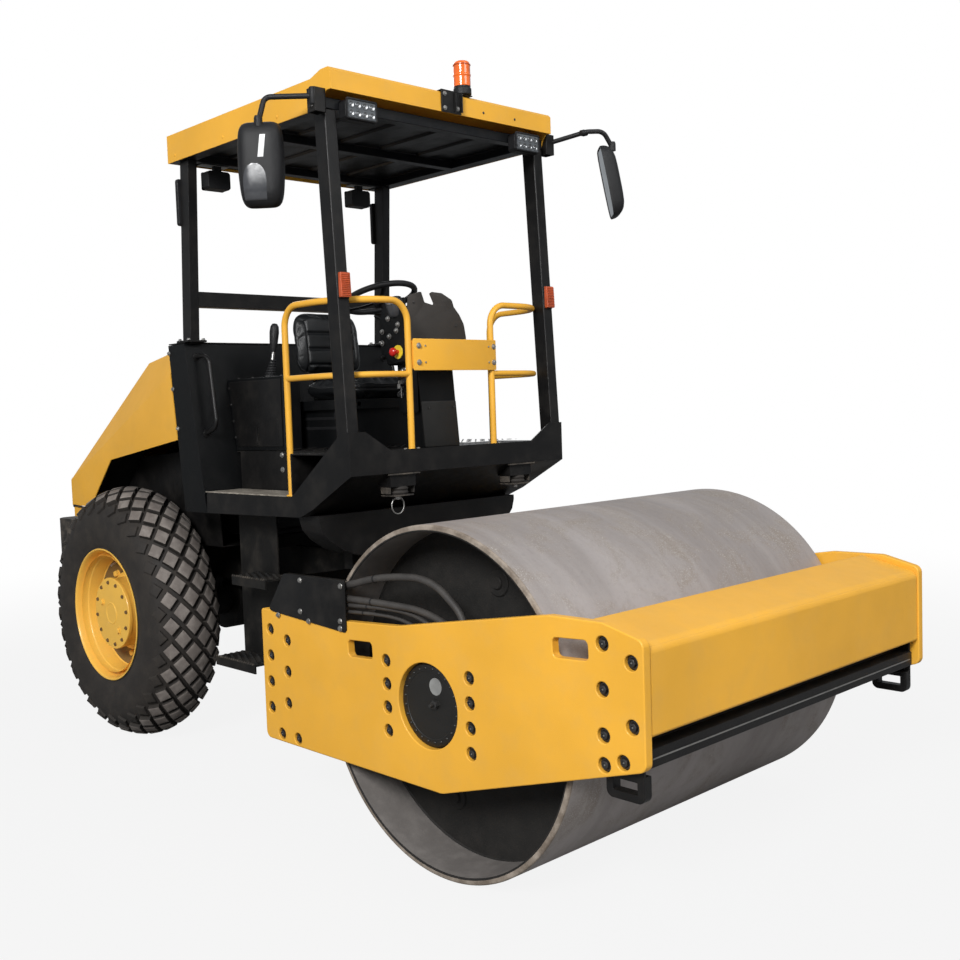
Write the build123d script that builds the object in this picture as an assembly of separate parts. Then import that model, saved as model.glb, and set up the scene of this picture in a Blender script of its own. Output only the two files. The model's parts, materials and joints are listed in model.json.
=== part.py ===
from build123d import *
import math
import os

# Single-drum road roller, articulated, with an open operator's platform.
# Frame: +X forward (towards the drum), +Y to the machine's left, +Z up, millimetres.
# Origin: on the ground, half way along the machine, on its centre line.

# ---------------------------------------------------------------- driving sizes
DRUM_X = 1315.0            # drum axle, forward of the origin
WHEELBASE = 2572.0         # drum axle to rear axle
AXLE_X = DRUM_X - WHEELBASE
REAR_EYE_L = 99.0          # lashing eyes, out from the bumper

DRUM_R = 627.0
DRUM_W = 1700.0
DRUM_WALL = 25.0
DRUM_DISC_IN = 115.0       # end disc, set in from the drum's edge
DRUM_DISC_T = 25.0
DRUM_SHAFT_R = 60.0
ECCENTRIC_R = 170.0        # tube round the vibrator shaft

TYRE_R = 653.0             # to the tips of the tread
TYRE_W = 376.0
TYRE_Y = 641.0             # middle plane of each tyre
RIM_R = 340.0              # rim flange
RIM_SEAT_R = 304.0         # bead seat
RIM_W = 344.0

PLATE_Y = 895.0            # outer face of the drum frame's side plates
PLATE_T = 34.0
PLATE_IN = PLATE_Y - PLATE_T
PLATE_BACK = 997.0         # plate's rear edge, behind the drum axle
PLATE_FRONT = 930.0        # plate's front edge, ahead of the drum axle
AXLE_HOLE_R = 151.0

HITCH_X = -30.0            # vertical steering pin
HITCH_Z = 600.0            # height of the oscillation axis
PIN_R = 45.0
SPINDLE_R = 70.0           # oscillation spindle
BEARING_R = 150.0          # oscillation bearing housing
BEARING_BACK = 165.0       # its rear face, ahead of the steering pin
MOVE_GAP = 6.0             # least space between moving pieces

RAIL_Y = 190.0             # outer face of the rear frame's side rails
RAIL_T = 30.0
RAIL_LOW_Z, RAIL_TOP_Z = 780.0, 1000.0
NOSE_X = -400.0            # front wall of the rear frame
FORK_LOW_Z, FORK_TOP_Z, FORK_T = 437.0, 763.0, 40.0
AXLE_TUBE_R = 100.0
AXLE_END_Y = 436.0

DECK_Y = 646.0             # half width of the operator's platform
DECK_FRONT_X = DRUM_X - 686.0
DECK_T = 6.0
FLOOR_Z = 1484.0
DECK_LOW_Z = 1393.0        # bottom of the platform's front beam
WELL_Z = 1300.0            # floor of the access wells
WELL_LOW_Z = 1200.0
WELL_Y = 435.0             # inner side of the access wells
WELL_FRONT_X = DRUM_X - 1106.0
WELL_BACK_X = DRUM_X - 1793.0
BULK_TOP_Z = 2008.0
BULK_TOP_BACK, BULK_TOP_FRONT, BULK_LOW_BACK = -2078.0, -1927.0, -1991.0     # from the drum axle
BULK_TOP_BACK_X, BULK_TOP_FRONT_X = DRUM_X + BULK_TOP_BACK, DRUM_X + BULK_TOP_FRONT
BULK_LOW_BACK_X = DRUM_X + BULK_LOW_BACK

HOOD_T = 5.0
BAY_Y = 440.0              # outer face of the engine bay's walls
TYRE_CLEAR = 15.0          # tyre to bumper
BUMPER_D = 221.0
BUMPER_FRONT_X = AXLE_X - TYRE_R - TYRE_CLEAR
BUMPER_BACK_X = BUMPER_FRONT_X - BUMPER_D
BUMPER_LOW_Z, BUMPER_TOP_Z = 520.0, 1100.0

POST = 48.0                # square ROPS tube
POST_BACK_Y = 600.0
ROOF_LOW_Z, ROOF_TOP_Z = 2866.0, 2994.0
ROOF_Y = 653.0
ROOF_T = 6.0
ROOF_FRONT_X = DRUM_X - 706.0
ROOF_BACK_X = DRUM_X - 1981.0
VISOR_LOW_Z, VISOR_TOP_Z = 2928.0, 3016.0
ROOF_TUBE_H = 40.0

RAIL_R = 14.0              # handrail tube
RAIL_LINE_Y = DECK_Y - DECK_T - RAIL_R - 2.0
RAIL_FRONT_X = DECK_FRONT_X - DECK_T - RAIL_R - 1.0
RAIL_HIGH_Z = 2112.0
RAIL_MID_Z = 1805.0
GAP = 0.3                  # seat clearance between pieces that meet


# ---------------------------------------------------------------- small helpers
def block(x0, x1, y0, y1, z0, z1):
    """Box given by its two corners."""
    centre = Pos((x0 + x1) / 2, (y0 + y1) / 2, (z0 + z1) / 2)
    return centre * Box(abs(x1 - x0), abs(y1 - y0), abs(z1 - z0))


def slab_xz(points, y0, y1):
    """Outline in X and Z, from y0 to y1."""
    face = make_face(Polyline(*[(x, y0, z) for x, z in points], close=True))
    return extrude(face, amount=y1 - y0, dir=(0, 1, 0))


def slab_yz(points, x0, x1):
    """Outline in Y and Z, from x0 to x1."""
    face = make_face(Polyline(*[(x0, y, z) for y, z in points], close=True))
    return extrude(face, amount=x1 - x0, dir=(1, 0, 0))


def slab_xy(points, z0, z1):
    """Outline in X and Y, from z0 to z1."""
    face = make_face(Polyline(*[(x, y, z0) for x, y in points], close=True))
    return extrude(face, amount=z1 - z0, dir=(0, 0, 1))


def rod(start, end, radius):
    """Round bar between two points."""
    line = Vector(*end) - Vector(*start)
    plane = Plane(origin=start, z_dir=line)
    return extrude(plane * Circle(radius), amount=line.length)


def disc_y(radius, x, z, y0, y1):
    """Round bar along Y."""
    return rod((x, min(y0, y1), z), (x, max(y0, y1), z), radius)


def pipe(points, radii, radius):
    """Round tube along straight runs joined by tangent arcs."""
    path = FilletPolyline(*points, radius=radii) if radii else Polyline(*points)
    profile = Plane(origin=path @ 0, z_dir=path % 0) * Circle(radius)
    return sweep(profile, path=path)


def upright(low, high, size_x, size_y):
    """Tube of rectangular section between two levels, leaning if its ends differ in X."""
    ends = [Plane(origin=end) * Rectangle(size_x, size_y) for end in (low, high)]
    return loft(ends)


def turned(section, x, z):
    """Revolve an outline of (radius, y) pairs about the axle at x, z."""
    face = make_face(Polyline(*[(x, y, z + r) for r, y in section], close=True))
    return revolve(face, axis=Axis((x, 0, z), (0, 1, 0)))


def flip(part):
    """The same piece on the other side of the centre line."""
    return mirror(part, about=Plane.XZ)


def joined(parts):
    """Fuse touching solids into one."""
    whole = parts[0]
    for part in parts[1:]:
        whole += part
    return whole


def apart(parts):
    """Hold solids that don't touch in one node."""
    return Compound(children=[solid for part in parts for solid in part.solids()])


# ---------------------------------------------------------------- drum
DISC_OUT_Y = DRUM_W / 2 - DRUM_DISC_IN
SHAFT_END_Y = PLATE_IN - 8.0


def drum():
    half = DRUM_W / 2
    shell = disc_y(DRUM_R, DRUM_X, DRUM_R, -half, half)
    shell -= disc_y(DRUM_R - DRUM_WALL, DRUM_X, DRUM_R, -half - 1, half + 1)
    parts = [shell]
    for side in (-1, 1):
        parts.append(disc_y(DRUM_R - DRUM_WALL + 1, DRUM_X, DRUM_R,
                            side * DISC_OUT_Y, side * (DISC_OUT_Y - DRUM_DISC_T)))
        parts.append(disc_y(DRUM_SHAFT_R, DRUM_X, DRUM_R, side * (DISC_OUT_Y - 1), side * SHAFT_END_Y))
    parts.append(disc_y(ECCENTRIC_R, DRUM_X, DRUM_R, 5 - DISC_OUT_Y, DISC_OUT_Y - 5))
    return joined(parts)


# ---------------------------------------------------------------- drum frame
PLATE_OUTLINE = [          # x from the drum axle, z
    (-PLATE_BACK, 330), (60, 330), (PLATE_FRONT, 592), (PLATE_FRONT, 972), (780, 1011), (569, 1009),
    (180, 945), (-150, 890), (-460, 873), (-PLATE_BACK, 866),
]
LIFT_SLOTS = [             # x from the drum axle, z, tilt in degrees
    (-359, 778, 3.0), (656, 915, 3.0),
]
SLOT_L, SLOT_H, SLOT_R = 140.0, 62.0, 16.0
PLATE_CORNER_R = 25.0
CARRIER_X, CARRIER_Z, CARRIER_T = 255.0, 165.0, 75.0
COVER_OUT = 16.0           # the cover's face, out from the plate's inner face


def side_plate():
    """Right-hand plate with its axle window and two lifting slots."""
    plate = slab_xz([(DRUM_X + x, z) for x, z in PLATE_OUTLINE], -PLATE_Y, -PLATE_IN)
    ends = [e for e in plate.edges().filter_by(Axis.Y) if not -900 < e.center().X - DRUM_X < 900]
    plate = fillet(ends, PLATE_CORNER_R)
    plate -= disc_y(AXLE_HOLE_R, DRUM_X, DRUM_R, -PLATE_Y - 1, -PLATE_IN + 1)
    for x, z, tilt in LIFT_SLOTS:
        slot = extrude(Plane.XZ * RectangleRounded(SLOT_L, SLOT_H, SLOT_R), amount=2 * PLATE_T, both=True)
        plate -= Pos(DRUM_X + x, -PLATE_Y, z) * Rot(0, -tilt, 0) * slot
    return plate


def drum_carrier():
    """Rubber-mounted bearing housing that hangs in the drum's open end."""
    inner = PLATE_IN - CARRIER_T
    body = block(DRUM_X - CARRIER_X, DRUM_X + CARRIER_X, -PLATE_IN, -inner,
                 DRUM_R - CARRIER_Z, DRUM_R + CARRIER_Z)
    body = chamfer(body.edges().filter_by(Axis.Y), 60)
    body += disc_y(AXLE_HOLE_R - 3, DRUM_X, DRUM_R, -PLATE_IN - COVER_OUT, -PLATE_IN + 2)
    return body - disc_y(DRUM_SHAFT_R + GAP, DRUM_X, DRUM_R, -SHAFT_END_Y - 2, 1 - inner)


BEAM_SECTION = [           # folded box beam: x from the drum axle, z
    (700, 683), (926, 683), (926, 940), (910, 958), (700, 1008),
]
BAR_SECTION = [            # angle bar and its web below the beam
    (836, 683), (846, 683), (846, 640), (905, 640), (905, 585), (895, 585), (895, 630), (836, 630),
]
BLADE_GAP = 12.0           # scraper blade to drum
BLADE_HALF = 800.0
EYE_X = (755.0, 896.0)     # lashing eye, from the drum axle
EYE_Z = (478.0, 560.0)
EYE_T, EYE_RIM, EYE_R = 38.0, 26.0, 24.0
EYE_STEM_T = 12.0
REAR_BEAM_Z = (400.0, 760.0)
REAR_BEAM_X = 120.0
WEB_Y, WEB_T = 170.0, 24.0


def front_beam():
    return slab_xz([(DRUM_X + x, z) for x, z in BEAM_SECTION], -PLATE_IN, PLATE_IN)


def scraper_bar():
    """Bar under the beam with the blade that cleans the drum."""
    half = PLATE_IN - EYE_STEM_T - GAP
    bar = slab_xz([(DRUM_X + x, z) for x, z in BAR_SECTION], -half, half)
    tip = DRUM_R + BLADE_GAP
    edge = [(tip, 640), (840, 650), (840, 662), (tip, 652)]
    return bar + slab_xz([(DRUM_X + x, z) for x, z in edge], -BLADE_HALF, BLADE_HALF)


def lashing_eyes():
    """Eyes below the front corners of the side plates."""
    x0, x1 = DRUM_X + EYE_X[0], DRUM_X + EYE_X[1]
    low, high = EYE_Z
    eye = block(x0, x1, -PLATE_IN, EYE_T - PLATE_IN, low, high)
    eye = fillet(eye.edges().filter_by(Axis.Y).group_by(Axis.Z)[0], EYE_R)
    eye -= block(x0 + EYE_RIM, x1 - EYE_RIM, -PLATE_IN - 1, EYE_T - PLATE_IN + 1, low + EYE_RIM, high - 20)
    eye += block(x0, x1, -PLATE_IN, EYE_STEM_T - PLATE_IN, high - 5, BEAM_SECTION[0][1] - GAP)
    return apart([eye, flip(eye)])


def rear_crossbeam():
    """Box beam behind the drum with the oscillation bearing housing."""
    low, high = REAR_BEAM_Z
    back = DRUM_X - PLATE_BACK
    face = HITCH_X + BEARING_BACK
    beam = block(back, back + REAR_BEAM_X, -PLATE_IN, PLATE_IN, low, high)
    parts = [beam, rod((face, 0, HITCH_Z), (back + 2, 0, HITCH_Z), BEARING_R)]
    nose = face + 60
    web = [(back + 1, low + 40), (back + 1, high - 30), (nose, HITCH_Z + 60), (nose, HITCH_Z - 60)]
    for side in (-1, 1):
        parts.append(slab_xz(web, side * WEB_Y - WEB_T / 2, side * WEB_Y + WEB_T / 2))
    parts.append(block(face + 60, back + 1, -WEB_Y, WEB_Y, HITCH_Z - 60, HITCH_Z + 60))
    bore = rod((face - 1, 0, HITCH_Z), (back - 8, 0, HITCH_Z), SPINDLE_R + 1)
    return joined(parts) - bore


# ---------------------------------------------------------------- hose run
GUARD_OUTLINE = [          # x from the drum axle, z
    (-936, 868), (-820, 1024), (-429, 1028), (-429, 831), (-900, 862),
]
GUARD_T = 6.0
HOSE_START_X = DRUM_X - 700.0
HOSE_IN_Y = -824.0         # where the hoses run down inside the drum's open end
HOSE_MID_X = DRUM_X - 480.0
HOSES = [
    # radius, start y, start z, crest x from the axle, crest above the axle, end x from the axle
    (13.0, -874.0, 985.0, -60.0, 473.0, 130.0),
    (13.0, -876.0, 945.0, -150.0, 358.0, 40.0),
    (10.0, -874.0, 917.0, -210.0, 318.0, -40.0),
    (8.0, -875.0, 893.0, -280.0, 288.0, -110.0),
]


def bend_radii(points):
    """The largest arc that the two runs at each corner allow."""
    runs = [Vector(*b) - Vector(*a) for a, b in zip(points, points[1:])]
    return [0.45 * min(a.length, b.length) / math.tan(math.radians(a.get_angle(b) / 2))
            for a, b in zip(runs, runs[1:])]


def drum_hoses():
    """Four hoses from behind the guard, over the plate and down to the bearing housing."""
    top = DRUM_R + CARRIER_Z
    hoses = []
    for radius, y, z, crest_x, crest_up, end_x in HOSES:
        crest, end, crest_z = DRUM_X + crest_x, DRUM_X + end_x, DRUM_R + crest_up
        points = [(HOSE_START_X, y, z), (HOSE_MID_X, y - 1, z + 12),
                  ((HOSE_MID_X + crest) / 2, (y + HOSE_IN_Y) / 2 - 8, (z + crest_z) / 2 + 30),
                  (crest, HOSE_IN_Y + 4, crest_z), (end, HOSE_IN_Y, (crest_z + top) / 2 + 10),
                  (end, HOSE_IN_Y, top + GAP)]
        hoses.append(pipe(points, bend_radii(points), radius))
    return apart(hoses)


def hose_guard():
    """Sheet guard bolted outside the right-hand plate's rear top edge."""
    outline = [(DRUM_X + x, z) for x, z in GUARD_OUTLINE]
    return slab_xz(outline, -PLATE_Y - GUARD_T, -PLATE_Y)


# ---------------------------------------------------------------- hitch and steering cylinders
HUB_R = 95.0
HUB_NECK_R = 75.0
LUG_Y = 175.0              # rod pins, off the centre line
LUG_R = 40.0
LUG_T = 15.0
EYE_HALF = 19.0            # half height of a cylinder's eye
CYL_BACK_X, CYL_BACK_Y = -520.0, 290.0
BARREL_R, ROD_R = 40.0, 20.0
BARREL_L = 310.0
BARREL_BACK = 60.0         # the tube's rear end, from its pin
ROD_IN = 178.0             # rod's inner end, from the rear pin
BORE_END = 14.0            # thickness of the barrel's closed end
CYL_PIN_R = 16.0
STEER_PIN_HEAD = 12.0


def hitch():
    """Casting between the frames: steering hub, oscillation spindle and cylinder lugs."""
    low, high = FORK_LOW_Z + FORK_T + MOVE_GAP, FORK_TOP_Z - FORK_T - MOVE_GAP
    parts = [rod((HITCH_X, 0, low), (HITCH_X, 0, high), HUB_NECK_R)]
    for z0, z1 in ((low, HITCH_Z - 60), (HITCH_Z + 60, high)):
        parts.append(rod((HITCH_X, 0, z0), (HITCH_X, 0, z1), HUB_R))
    face = HITCH_X + BEARING_BACK
    parts.append(rod((HITCH_X, 0, HITCH_Z), (face + 150, 0, HITCH_Z), SPINDLE_R))
    parts.append(rod((face - MOVE_GAP - 22, 0, HITCH_Z), (face - MOVE_GAP, 0, HITCH_Z), BEARING_R - 10))
    for z0 in (HITCH_Z - EYE_HALF - MOVE_GAP - LUG_T, HITCH_Z + EYE_HALF + MOVE_GAP):
        arm = block(HITCH_X - LUG_R, HITCH_X + LUG_R, -LUG_Y, LUG_Y, z0, z0 + LUG_T)
        for side in (-1, 1):
            arm += rod((HITCH_X, side * LUG_Y, z0), (HITCH_X, side * LUG_Y, z0 + LUG_T), LUG_R)
        parts.append(arm)
    outer = HITCH_Z + EYE_HALF + MOVE_GAP + LUG_T
    for side in (-1, 1):
        for z0, z1 in ((outer - 1, outer + STEER_PIN_HEAD),
                       (2 * HITCH_Z - outer - STEER_PIN_HEAD, 2 * HITCH_Z - outer + 1)):
            parts.append(rod((HITCH_X, side * LUG_Y, z0), (HITCH_X, side * LUG_Y, z1), CYL_PIN_R + 8))
    bore = rod((HITCH_X, 0, low - 1), (HITCH_X, 0, high + 1), PIN_R + 1)
    return joined(parts) - bore


def cylinder_line():
    """Rear pin, front pin and unit vector of the right-hand steering cylinder."""
    back = Vector(CYL_BACK_X, -CYL_BACK_Y, HITCH_Z)
    front = Vector(HITCH_X, -LUG_Y, HITCH_Z)
    return back, front, (front - back).normalized()


def steering_barrel():
    back, _, along = cylinder_line()
    tube = rod(back + along * BARREL_BACK, back + along * BARREL_L, BARREL_R)
    tube -= rod(back + along * (BARREL_BACK + BORE_END), back + along * (BARREL_L + 1), ROD_R + GAP)
    eye = rod(back - Vector(0, 0, EYE_HALF), back + Vector(0, 0, EYE_HALF), CYL_PIN_R + 18)
    eye += rod(back, back + along * (BARREL_BACK + 1), EYE_HALF - 1)
    pin_hole = rod(back - Vector(0, 0, 60), back + Vector(0, 0, 60), CYL_PIN_R + GAP)
    return tube + eye - pin_hole


def steering_rod():
    back, front, along = cylinder_line()
    bar = rod(back + along * ROD_IN, front, ROD_R)
    return bar + rod(front - Vector(0, 0, EYE_HALF), front + Vector(0, 0, EYE_HALF), CYL_PIN_R + 16)


# ---------------------------------------------------------------- rear frame
def chassis():
    """Side rails, front wall, fork for the steering pin, axle pads and cylinder brackets."""
    rail_in = RAIL_Y - RAIL_T
    outline = [(BUMPER_FRONT_X, RAIL_LOW_Z), (BUMPER_FRONT_X, RAIL_TOP_Z), (NOSE_X, RAIL_TOP_Z),
               (NOSE_X, FORK_LOW_Z), (NOSE_X - 160, FORK_LOW_Z), (NOSE_X - 240, RAIL_LOW_Z)]
    parts = [slab_xz(outline, rail_in, RAIL_Y), slab_xz(outline, -RAIL_Y, -rail_in)]
    parts.append(block(NOSE_X - 20, NOSE_X, -RAIL_Y, RAIL_Y, FORK_LOW_Z, RAIL_TOP_Z))
    parts.append(block(BUMPER_FRONT_X, BUMPER_FRONT_X + 20, -RAIL_Y, RAIL_Y, RAIL_LOW_Z, RAIL_TOP_Z))
    for z0 in (FORK_LOW_Z, FORK_TOP_Z - FORK_T):
        cheek = slab_xy([(NOSE_X - 10, -150), (HITCH_X, -HUB_R), (HITCH_X, HUB_R), (NOSE_X - 10, 150)],
                        z0, z0 + FORK_T)
        parts.append(cheek + rod((HITCH_X, 0, z0), (HITCH_X, 0, z0 + FORK_T), HUB_R))
    parts.append(rod((HITCH_X, 0, FORK_LOW_Z - 12), (HITCH_X, 0, FORK_TOP_Z + 12), PIN_R))
    for side in (-1, 1):
        inner, outer = side * rail_in, side * (RAIL_Y + 15)
        seat_z = TYRE_R + AXLE_TUBE_R + GAP
        parts.append(block(AXLE_X - 110, AXLE_X + 110, inner, outer, seat_z, RAIL_LOW_Z + 1))
        for z0 in (HITCH_Z - EYE_HALF - 2 - LUG_T, HITCH_Z + EYE_HALF + 2):
            ends = side * (RAIL_Y - 1), side * CYL_BACK_Y
            tongue = block(CYL_BACK_X - 38, CYL_BACK_X + 38, *ends, z0, z0 + LUG_T)
            centre = (CYL_BACK_X, side * CYL_BACK_Y, z0)
            parts.append(tongue + rod(centre, (*centre[:2], z0 + LUG_T), 38))
        parts.append(rod((CYL_BACK_X, side * CYL_BACK_Y, HITCH_Z - 45),
                         (CYL_BACK_X, side * CYL_BACK_Y, HITCH_Z + 45), CYL_PIN_R))
        parts.append(block(CYL_BACK_X - 38, CYL_BACK_X + 38, side * (RAIL_Y - 1), side * (RAIL_Y + 18),
                           HITCH_Z - 36, HITCH_Z + 36))
    for x, half, y_out in DECK_LEGS:
        low = RAIL_TOP_Z - LEG_BAR if x > NOSE_X else RAIL_TOP_Z - 1
        parts.append(block(x - half, x + half, -y_out, y_out, low, low + LEG_BAR))
        for side in (-1, 1):
            parts.append(block(x - half, x + half, side * (y_out - LEG_W), side * y_out,
                               low + LEG_BAR - 1, belly_z(x - half) - GAP))
    arm = [(NOSE_X - 1, RAIL_TOP_Z), (NOSE_X - 1, RAIL_TOP_Z - 150), (FRONT_LEG_X, RAIL_TOP_Z - LEG_BAR),
           (FRONT_LEG_X, RAIL_TOP_Z)]
    for side in (-1, 1):
        parts.append(slab_xz(arm, *sorted((side * rail_in, side * RAIL_Y))))
    return joined(parts)


FRONT_LEG_X = 150.0
LEG_BAR, LEG_W = 60.0, 60.0
DECK_LEGS = [              # x, half length, half width: cross members under the platform's rubber mounts
    (-440.0, 38.0, 430.0), (FRONT_LEG_X, 30.0, 300.0),
]


def belly_z(x):
    """Underside of the platform's level belly plate."""
    back_x, front_x = DRUM_X - 1793.0, DRUM_X - 1044.0
    return WELL_LOW_Z + 12.0 * (x - back_x) / (front_x - back_x)


SPINDLE_OUT = 70.0         # stub spindle past the axle's end flange


def rear_axle():
    """Axle tube with its differential, end flanges and stub spindles."""
    axle = disc_y(AXLE_TUBE_R, AXLE_X, TYRE_R, -AXLE_END_Y, AXLE_END_Y)
    axle += disc_y(AXLE_TUBE_R + 80, AXLE_X, TYRE_R, -105, 105)
    for side in (-1, 1):
        axle += disc_y(AXLE_TUBE_R + 45, AXLE_X, TYRE_R, side * (AXLE_END_Y - 30), side * AXLE_END_Y)
        axle += disc_y(60, AXLE_X, TYRE_R, side * (AXLE_END_Y - 1), side * (AXLE_END_Y + SPINDLE_OUT))
        pad = block(AXLE_X - 90, AXLE_X + 90, side * (RAIL_Y - RAIL_T), side * (RAIL_Y + 15),
                    TYRE_R, TYRE_R + AXLE_TUBE_R)
        axle += pad
    return axle


RIM_SECTION = [            # radius, y out from the tyre's middle plane
    (RIM_R, -RIM_W / 2), (RIM_R, 8 - RIM_W / 2), (RIM_SEAT_R, 14 - RIM_W / 2), (RIM_SEAT_R - 18, -90),
    (RIM_SEAT_R - 18, 90), (RIM_SEAT_R, RIM_W / 2 - 14), (RIM_R, RIM_W / 2 - 8), (RIM_R, RIM_W / 2),
    (RIM_SEAT_R - 4, RIM_W / 2), (RIM_SEAT_R - 28, 96), (RIM_SEAT_R - 28, 60), (218, 16), (80, 16),
    (80, 0), (225, 0), (RIM_SEAT_R - 28, 44), (RIM_SEAT_R - 28, -96), (RIM_SEAT_R - 4, -RIM_W / 2),
]
HUB_SECTION = [            # radius, y out from the tyre's middle plane
    (61, -196), (175, -196), (175, -60), (190, -50), (190, 30), (165, 45), (165, 64), (120, 78),
    (0, 78), (0, -120), (61, -120),
]
TYRE_SECTION = [           # radius, y from the middle plane, from the bead to the tread's edge
    (RIM_SEAT_R + GAP, RIM_W / 2 - 16), (470, TYRE_W / 2), (TYRE_R - 25, TYRE_W / 2 - 7),
]
TREAD_PITCH = 30           # lugs in each column
FACETS = 2 * TREAD_PITCH
LUG_COLUMNS = [            # y from the middle plane, half pitches round, half length, half width
    (-126, 0, 52, 53), (-43.5, 1, 52, 64), (43.5, 0, 52, 64), (126, 1, 52, 53),
]
LUG_DEPTH = 34.0
CROWN = 0.00055            # the tread falls away by this times the square of y


def rim():
    """Right-hand rim with its wheel disc and planetary hub."""
    parts = [turned([(r, -TYRE_Y - y) for r, y in section], AXLE_X, TYRE_R)
             for section in (RIM_SECTION, HUB_SECTION)]
    return joined(parts)


def facet_point(radius, y, step):
    """Point on the tyre's faceted body, on the ridge that is this many steps round."""
    turn = 2 * math.pi * step / FACETS
    return (radius * math.sin(turn), y, radius * math.cos(turn))


def tyre_body():
    """Faceted ring whose ridges carry the lugs."""
    bead, *rest = TYRE_SECTION
    half = [(bead[0] / math.cos(math.pi / FACETS), bead[1])] + rest
    section = half + [(r, -y) for r, y in reversed(half)]
    faces = []
    for step in range(FACETS):
        for (r0, y0), (r1, y1) in zip(section, section[1:] + section[:1]):
            corners = [facet_point(r0, y0, step), facet_point(r1, y1, step),
                       facet_point(r1, y1, step + 1), facet_point(r0, y0, step + 1)]
            faces.append(Face(Wire.make_polygon(corners, close=True)))
    return Solid(Shell(faces))


def tyre_lugs():
    """Diamond lugs in columns, each half a pitch round from its neighbours."""
    for y, shift, half_l, half_w in LUG_COLUMNS:
        top = TYRE_R - CROWN * y * y - half_l ** 2 / (2 * TYRE_R)
        plane = Plane(origin=(0, y, top), x_dir=(1, 0, 0), z_dir=(0, 2 * CROWN * y, 1))
        face = plane * Polygon((-half_l, 0), (0, -half_w), (half_l, 0), (0, half_w), align=None)
        lug = extrude(face, amount=-LUG_DEPTH)
        for step in range(TREAD_PITCH):
            yield Rot(0, 360 * (2 * step + shift) / FACETS, 0) * lug


def tyre():
    whole = tyre_body().fuse(*[solid for lug in tyre_lugs() for solid in lug.solids()])
    return Pos(AXLE_X, -TYRE_Y, TYRE_R) * whole


# ---------------------------------------------------------------- engine, hood and bumper
HOOD_BACK = BUMPER_FRONT_X - DRUM_X
HOOD_OUTLINE = [           # x from the drum axle, z
    (-2086, 1985), (-2458, 1944), (HOOD_BACK, 1327), (HOOD_BACK, 1184), (-2985, 1184), (-2944, 1251),
    (-2745, 1445), (-2036, 1548),
]
HOOD_CORNER = [            # x from the drum axle, in from the side, z: three points on each sloping corner
    (-2086, 0.0, 1863), (HOOD_BACK, 0.0, 1327), (-2458, 100.0, 1944),
]
HINGE_BACK = 14.0          # hinge pin, behind the bulkhead's top
HINGE_X, HINGE_Z, HINGE_R = BULK_TOP_BACK_X - HINGE_BACK, 2000.0, 14.0
HINGE_Y = (380.0, 450.0)


def hood():
    """One-piece tilting hood, open below and in front."""
    def shell(inset):
        half = DECK_Y - inset
        face = make_face(Polyline(*[(DRUM_X + x, -half, z) for x, z in HOOD_OUTLINE], close=True))
        if inset:
            face = offset(face, amount=-inset, kind=Kind.INTERSECTION)
        body = extrude(face, amount=2 * half, dir=(0, 1, 0))
        front, back, crest = [Vector(DRUM_X + x, y - DECK_Y, z) for x, y, z in HOOD_CORNER]
        out = (back - front).cross(crest - front).normalized()
        out = out if out.Y < 0 else -out
        span = 2 * (HOOD_OUTLINE[0][0] - HOOD_BACK)
        corner = Plane(origin=front - out * inset, z_dir=out) * Pos(0, 0, span / 2) * Box(span, span, span)
        return body - corner - flip(corner)
    cavity = shell(HOOD_T)
    whole = shell(0) - cavity
    for shift in ((0, 0, -120), (60, 0, 0)):
        whole -= Pos(*shift) * cavity
    for side in (-1, 1):
        y0, y1 = HINGE_Y
        whole += disc_y(HINGE_R, HINGE_X, HINGE_Z, side * y0, side * y1)
        whole += block(HINGE_X - 60, HINGE_X, side * y0, side * y1, HINGE_Z - 26, HINGE_Z - 8)
        whole -= disc_y(HINGE_R / 2 + 0.5, HINGE_X, HINGE_Z, side * (y0 - 1), side * (y1 + 1))
    return whole


BAY_LOW_Z, BAY_TOP_Z = RAIL_TOP_Z, 1500.0
BAY_T = 4.0
ENGINE_X = (-1500.0, -800.0)
ENGINE_Y = 260.0
ENGINE_Z = (1040.0, 1480.0)


def engine_block():
    """Plain mass of the engine on its two feet."""
    x0, x1 = ENGINE_X
    low, high = ENGINE_Z
    body = block(x0, x1, -ENGINE_Y, ENGINE_Y, low, high)
    for x in (x0 + 100, x1 - 100):
        body += block(x - 50, x + 50, -RAIL_Y, RAIL_Y, BAY_LOW_Z + BAY_T, low + 1)
    return body


def engine_bay():
    """Floor and walls of the engine bay, with the fenders over the tyres."""
    x0, x1 = DRUM_X + HOOD_BACK + HOOD_T + MOVE_GAP, BULK_LOW_BACK_X - 12
    floor = block(x0, x1, -BAY_Y, BAY_Y, BAY_LOW_Z, BAY_LOW_Z + BAY_T)
    parts = [floor, block(x0, x0 + BAY_T, -BAY_Y, BAY_Y, BAY_LOW_Z, 1240)]
    wall = [(x0, BAY_LOW_Z), (x0, 1240), (x0 + 330, BAY_TOP_Z - 60), (x1 - 30, BAY_TOP_Z), (x1, BAY_LOW_Z)]
    for side in (-1, 1):
        edges = sorted((side * BAY_Y, side * (BAY_Y - BAY_T)))
        parts.append(slab_xz(wall, *edges))
    return joined(parts + [fender(), flip(fender())])


FENDER_LINE = [            # x from the drum axle, z: underside, just above the hood's lower edge
    (-2975, 1262), (-2752, 1478), (-2075, 1576),
]
FENDER_T = 4.0


def fender():
    """Sheet over the right-hand tyre, between the bay's wall and the hood."""
    low = [(DRUM_X + x, z) for x, z in FENDER_LINE]
    high = [(x, z + FENDER_T) for x, z in reversed(low)]
    return slab_xz(low + high, HOOD_T + MOVE_GAP - DECK_Y, 1 - BAY_Y)


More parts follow.
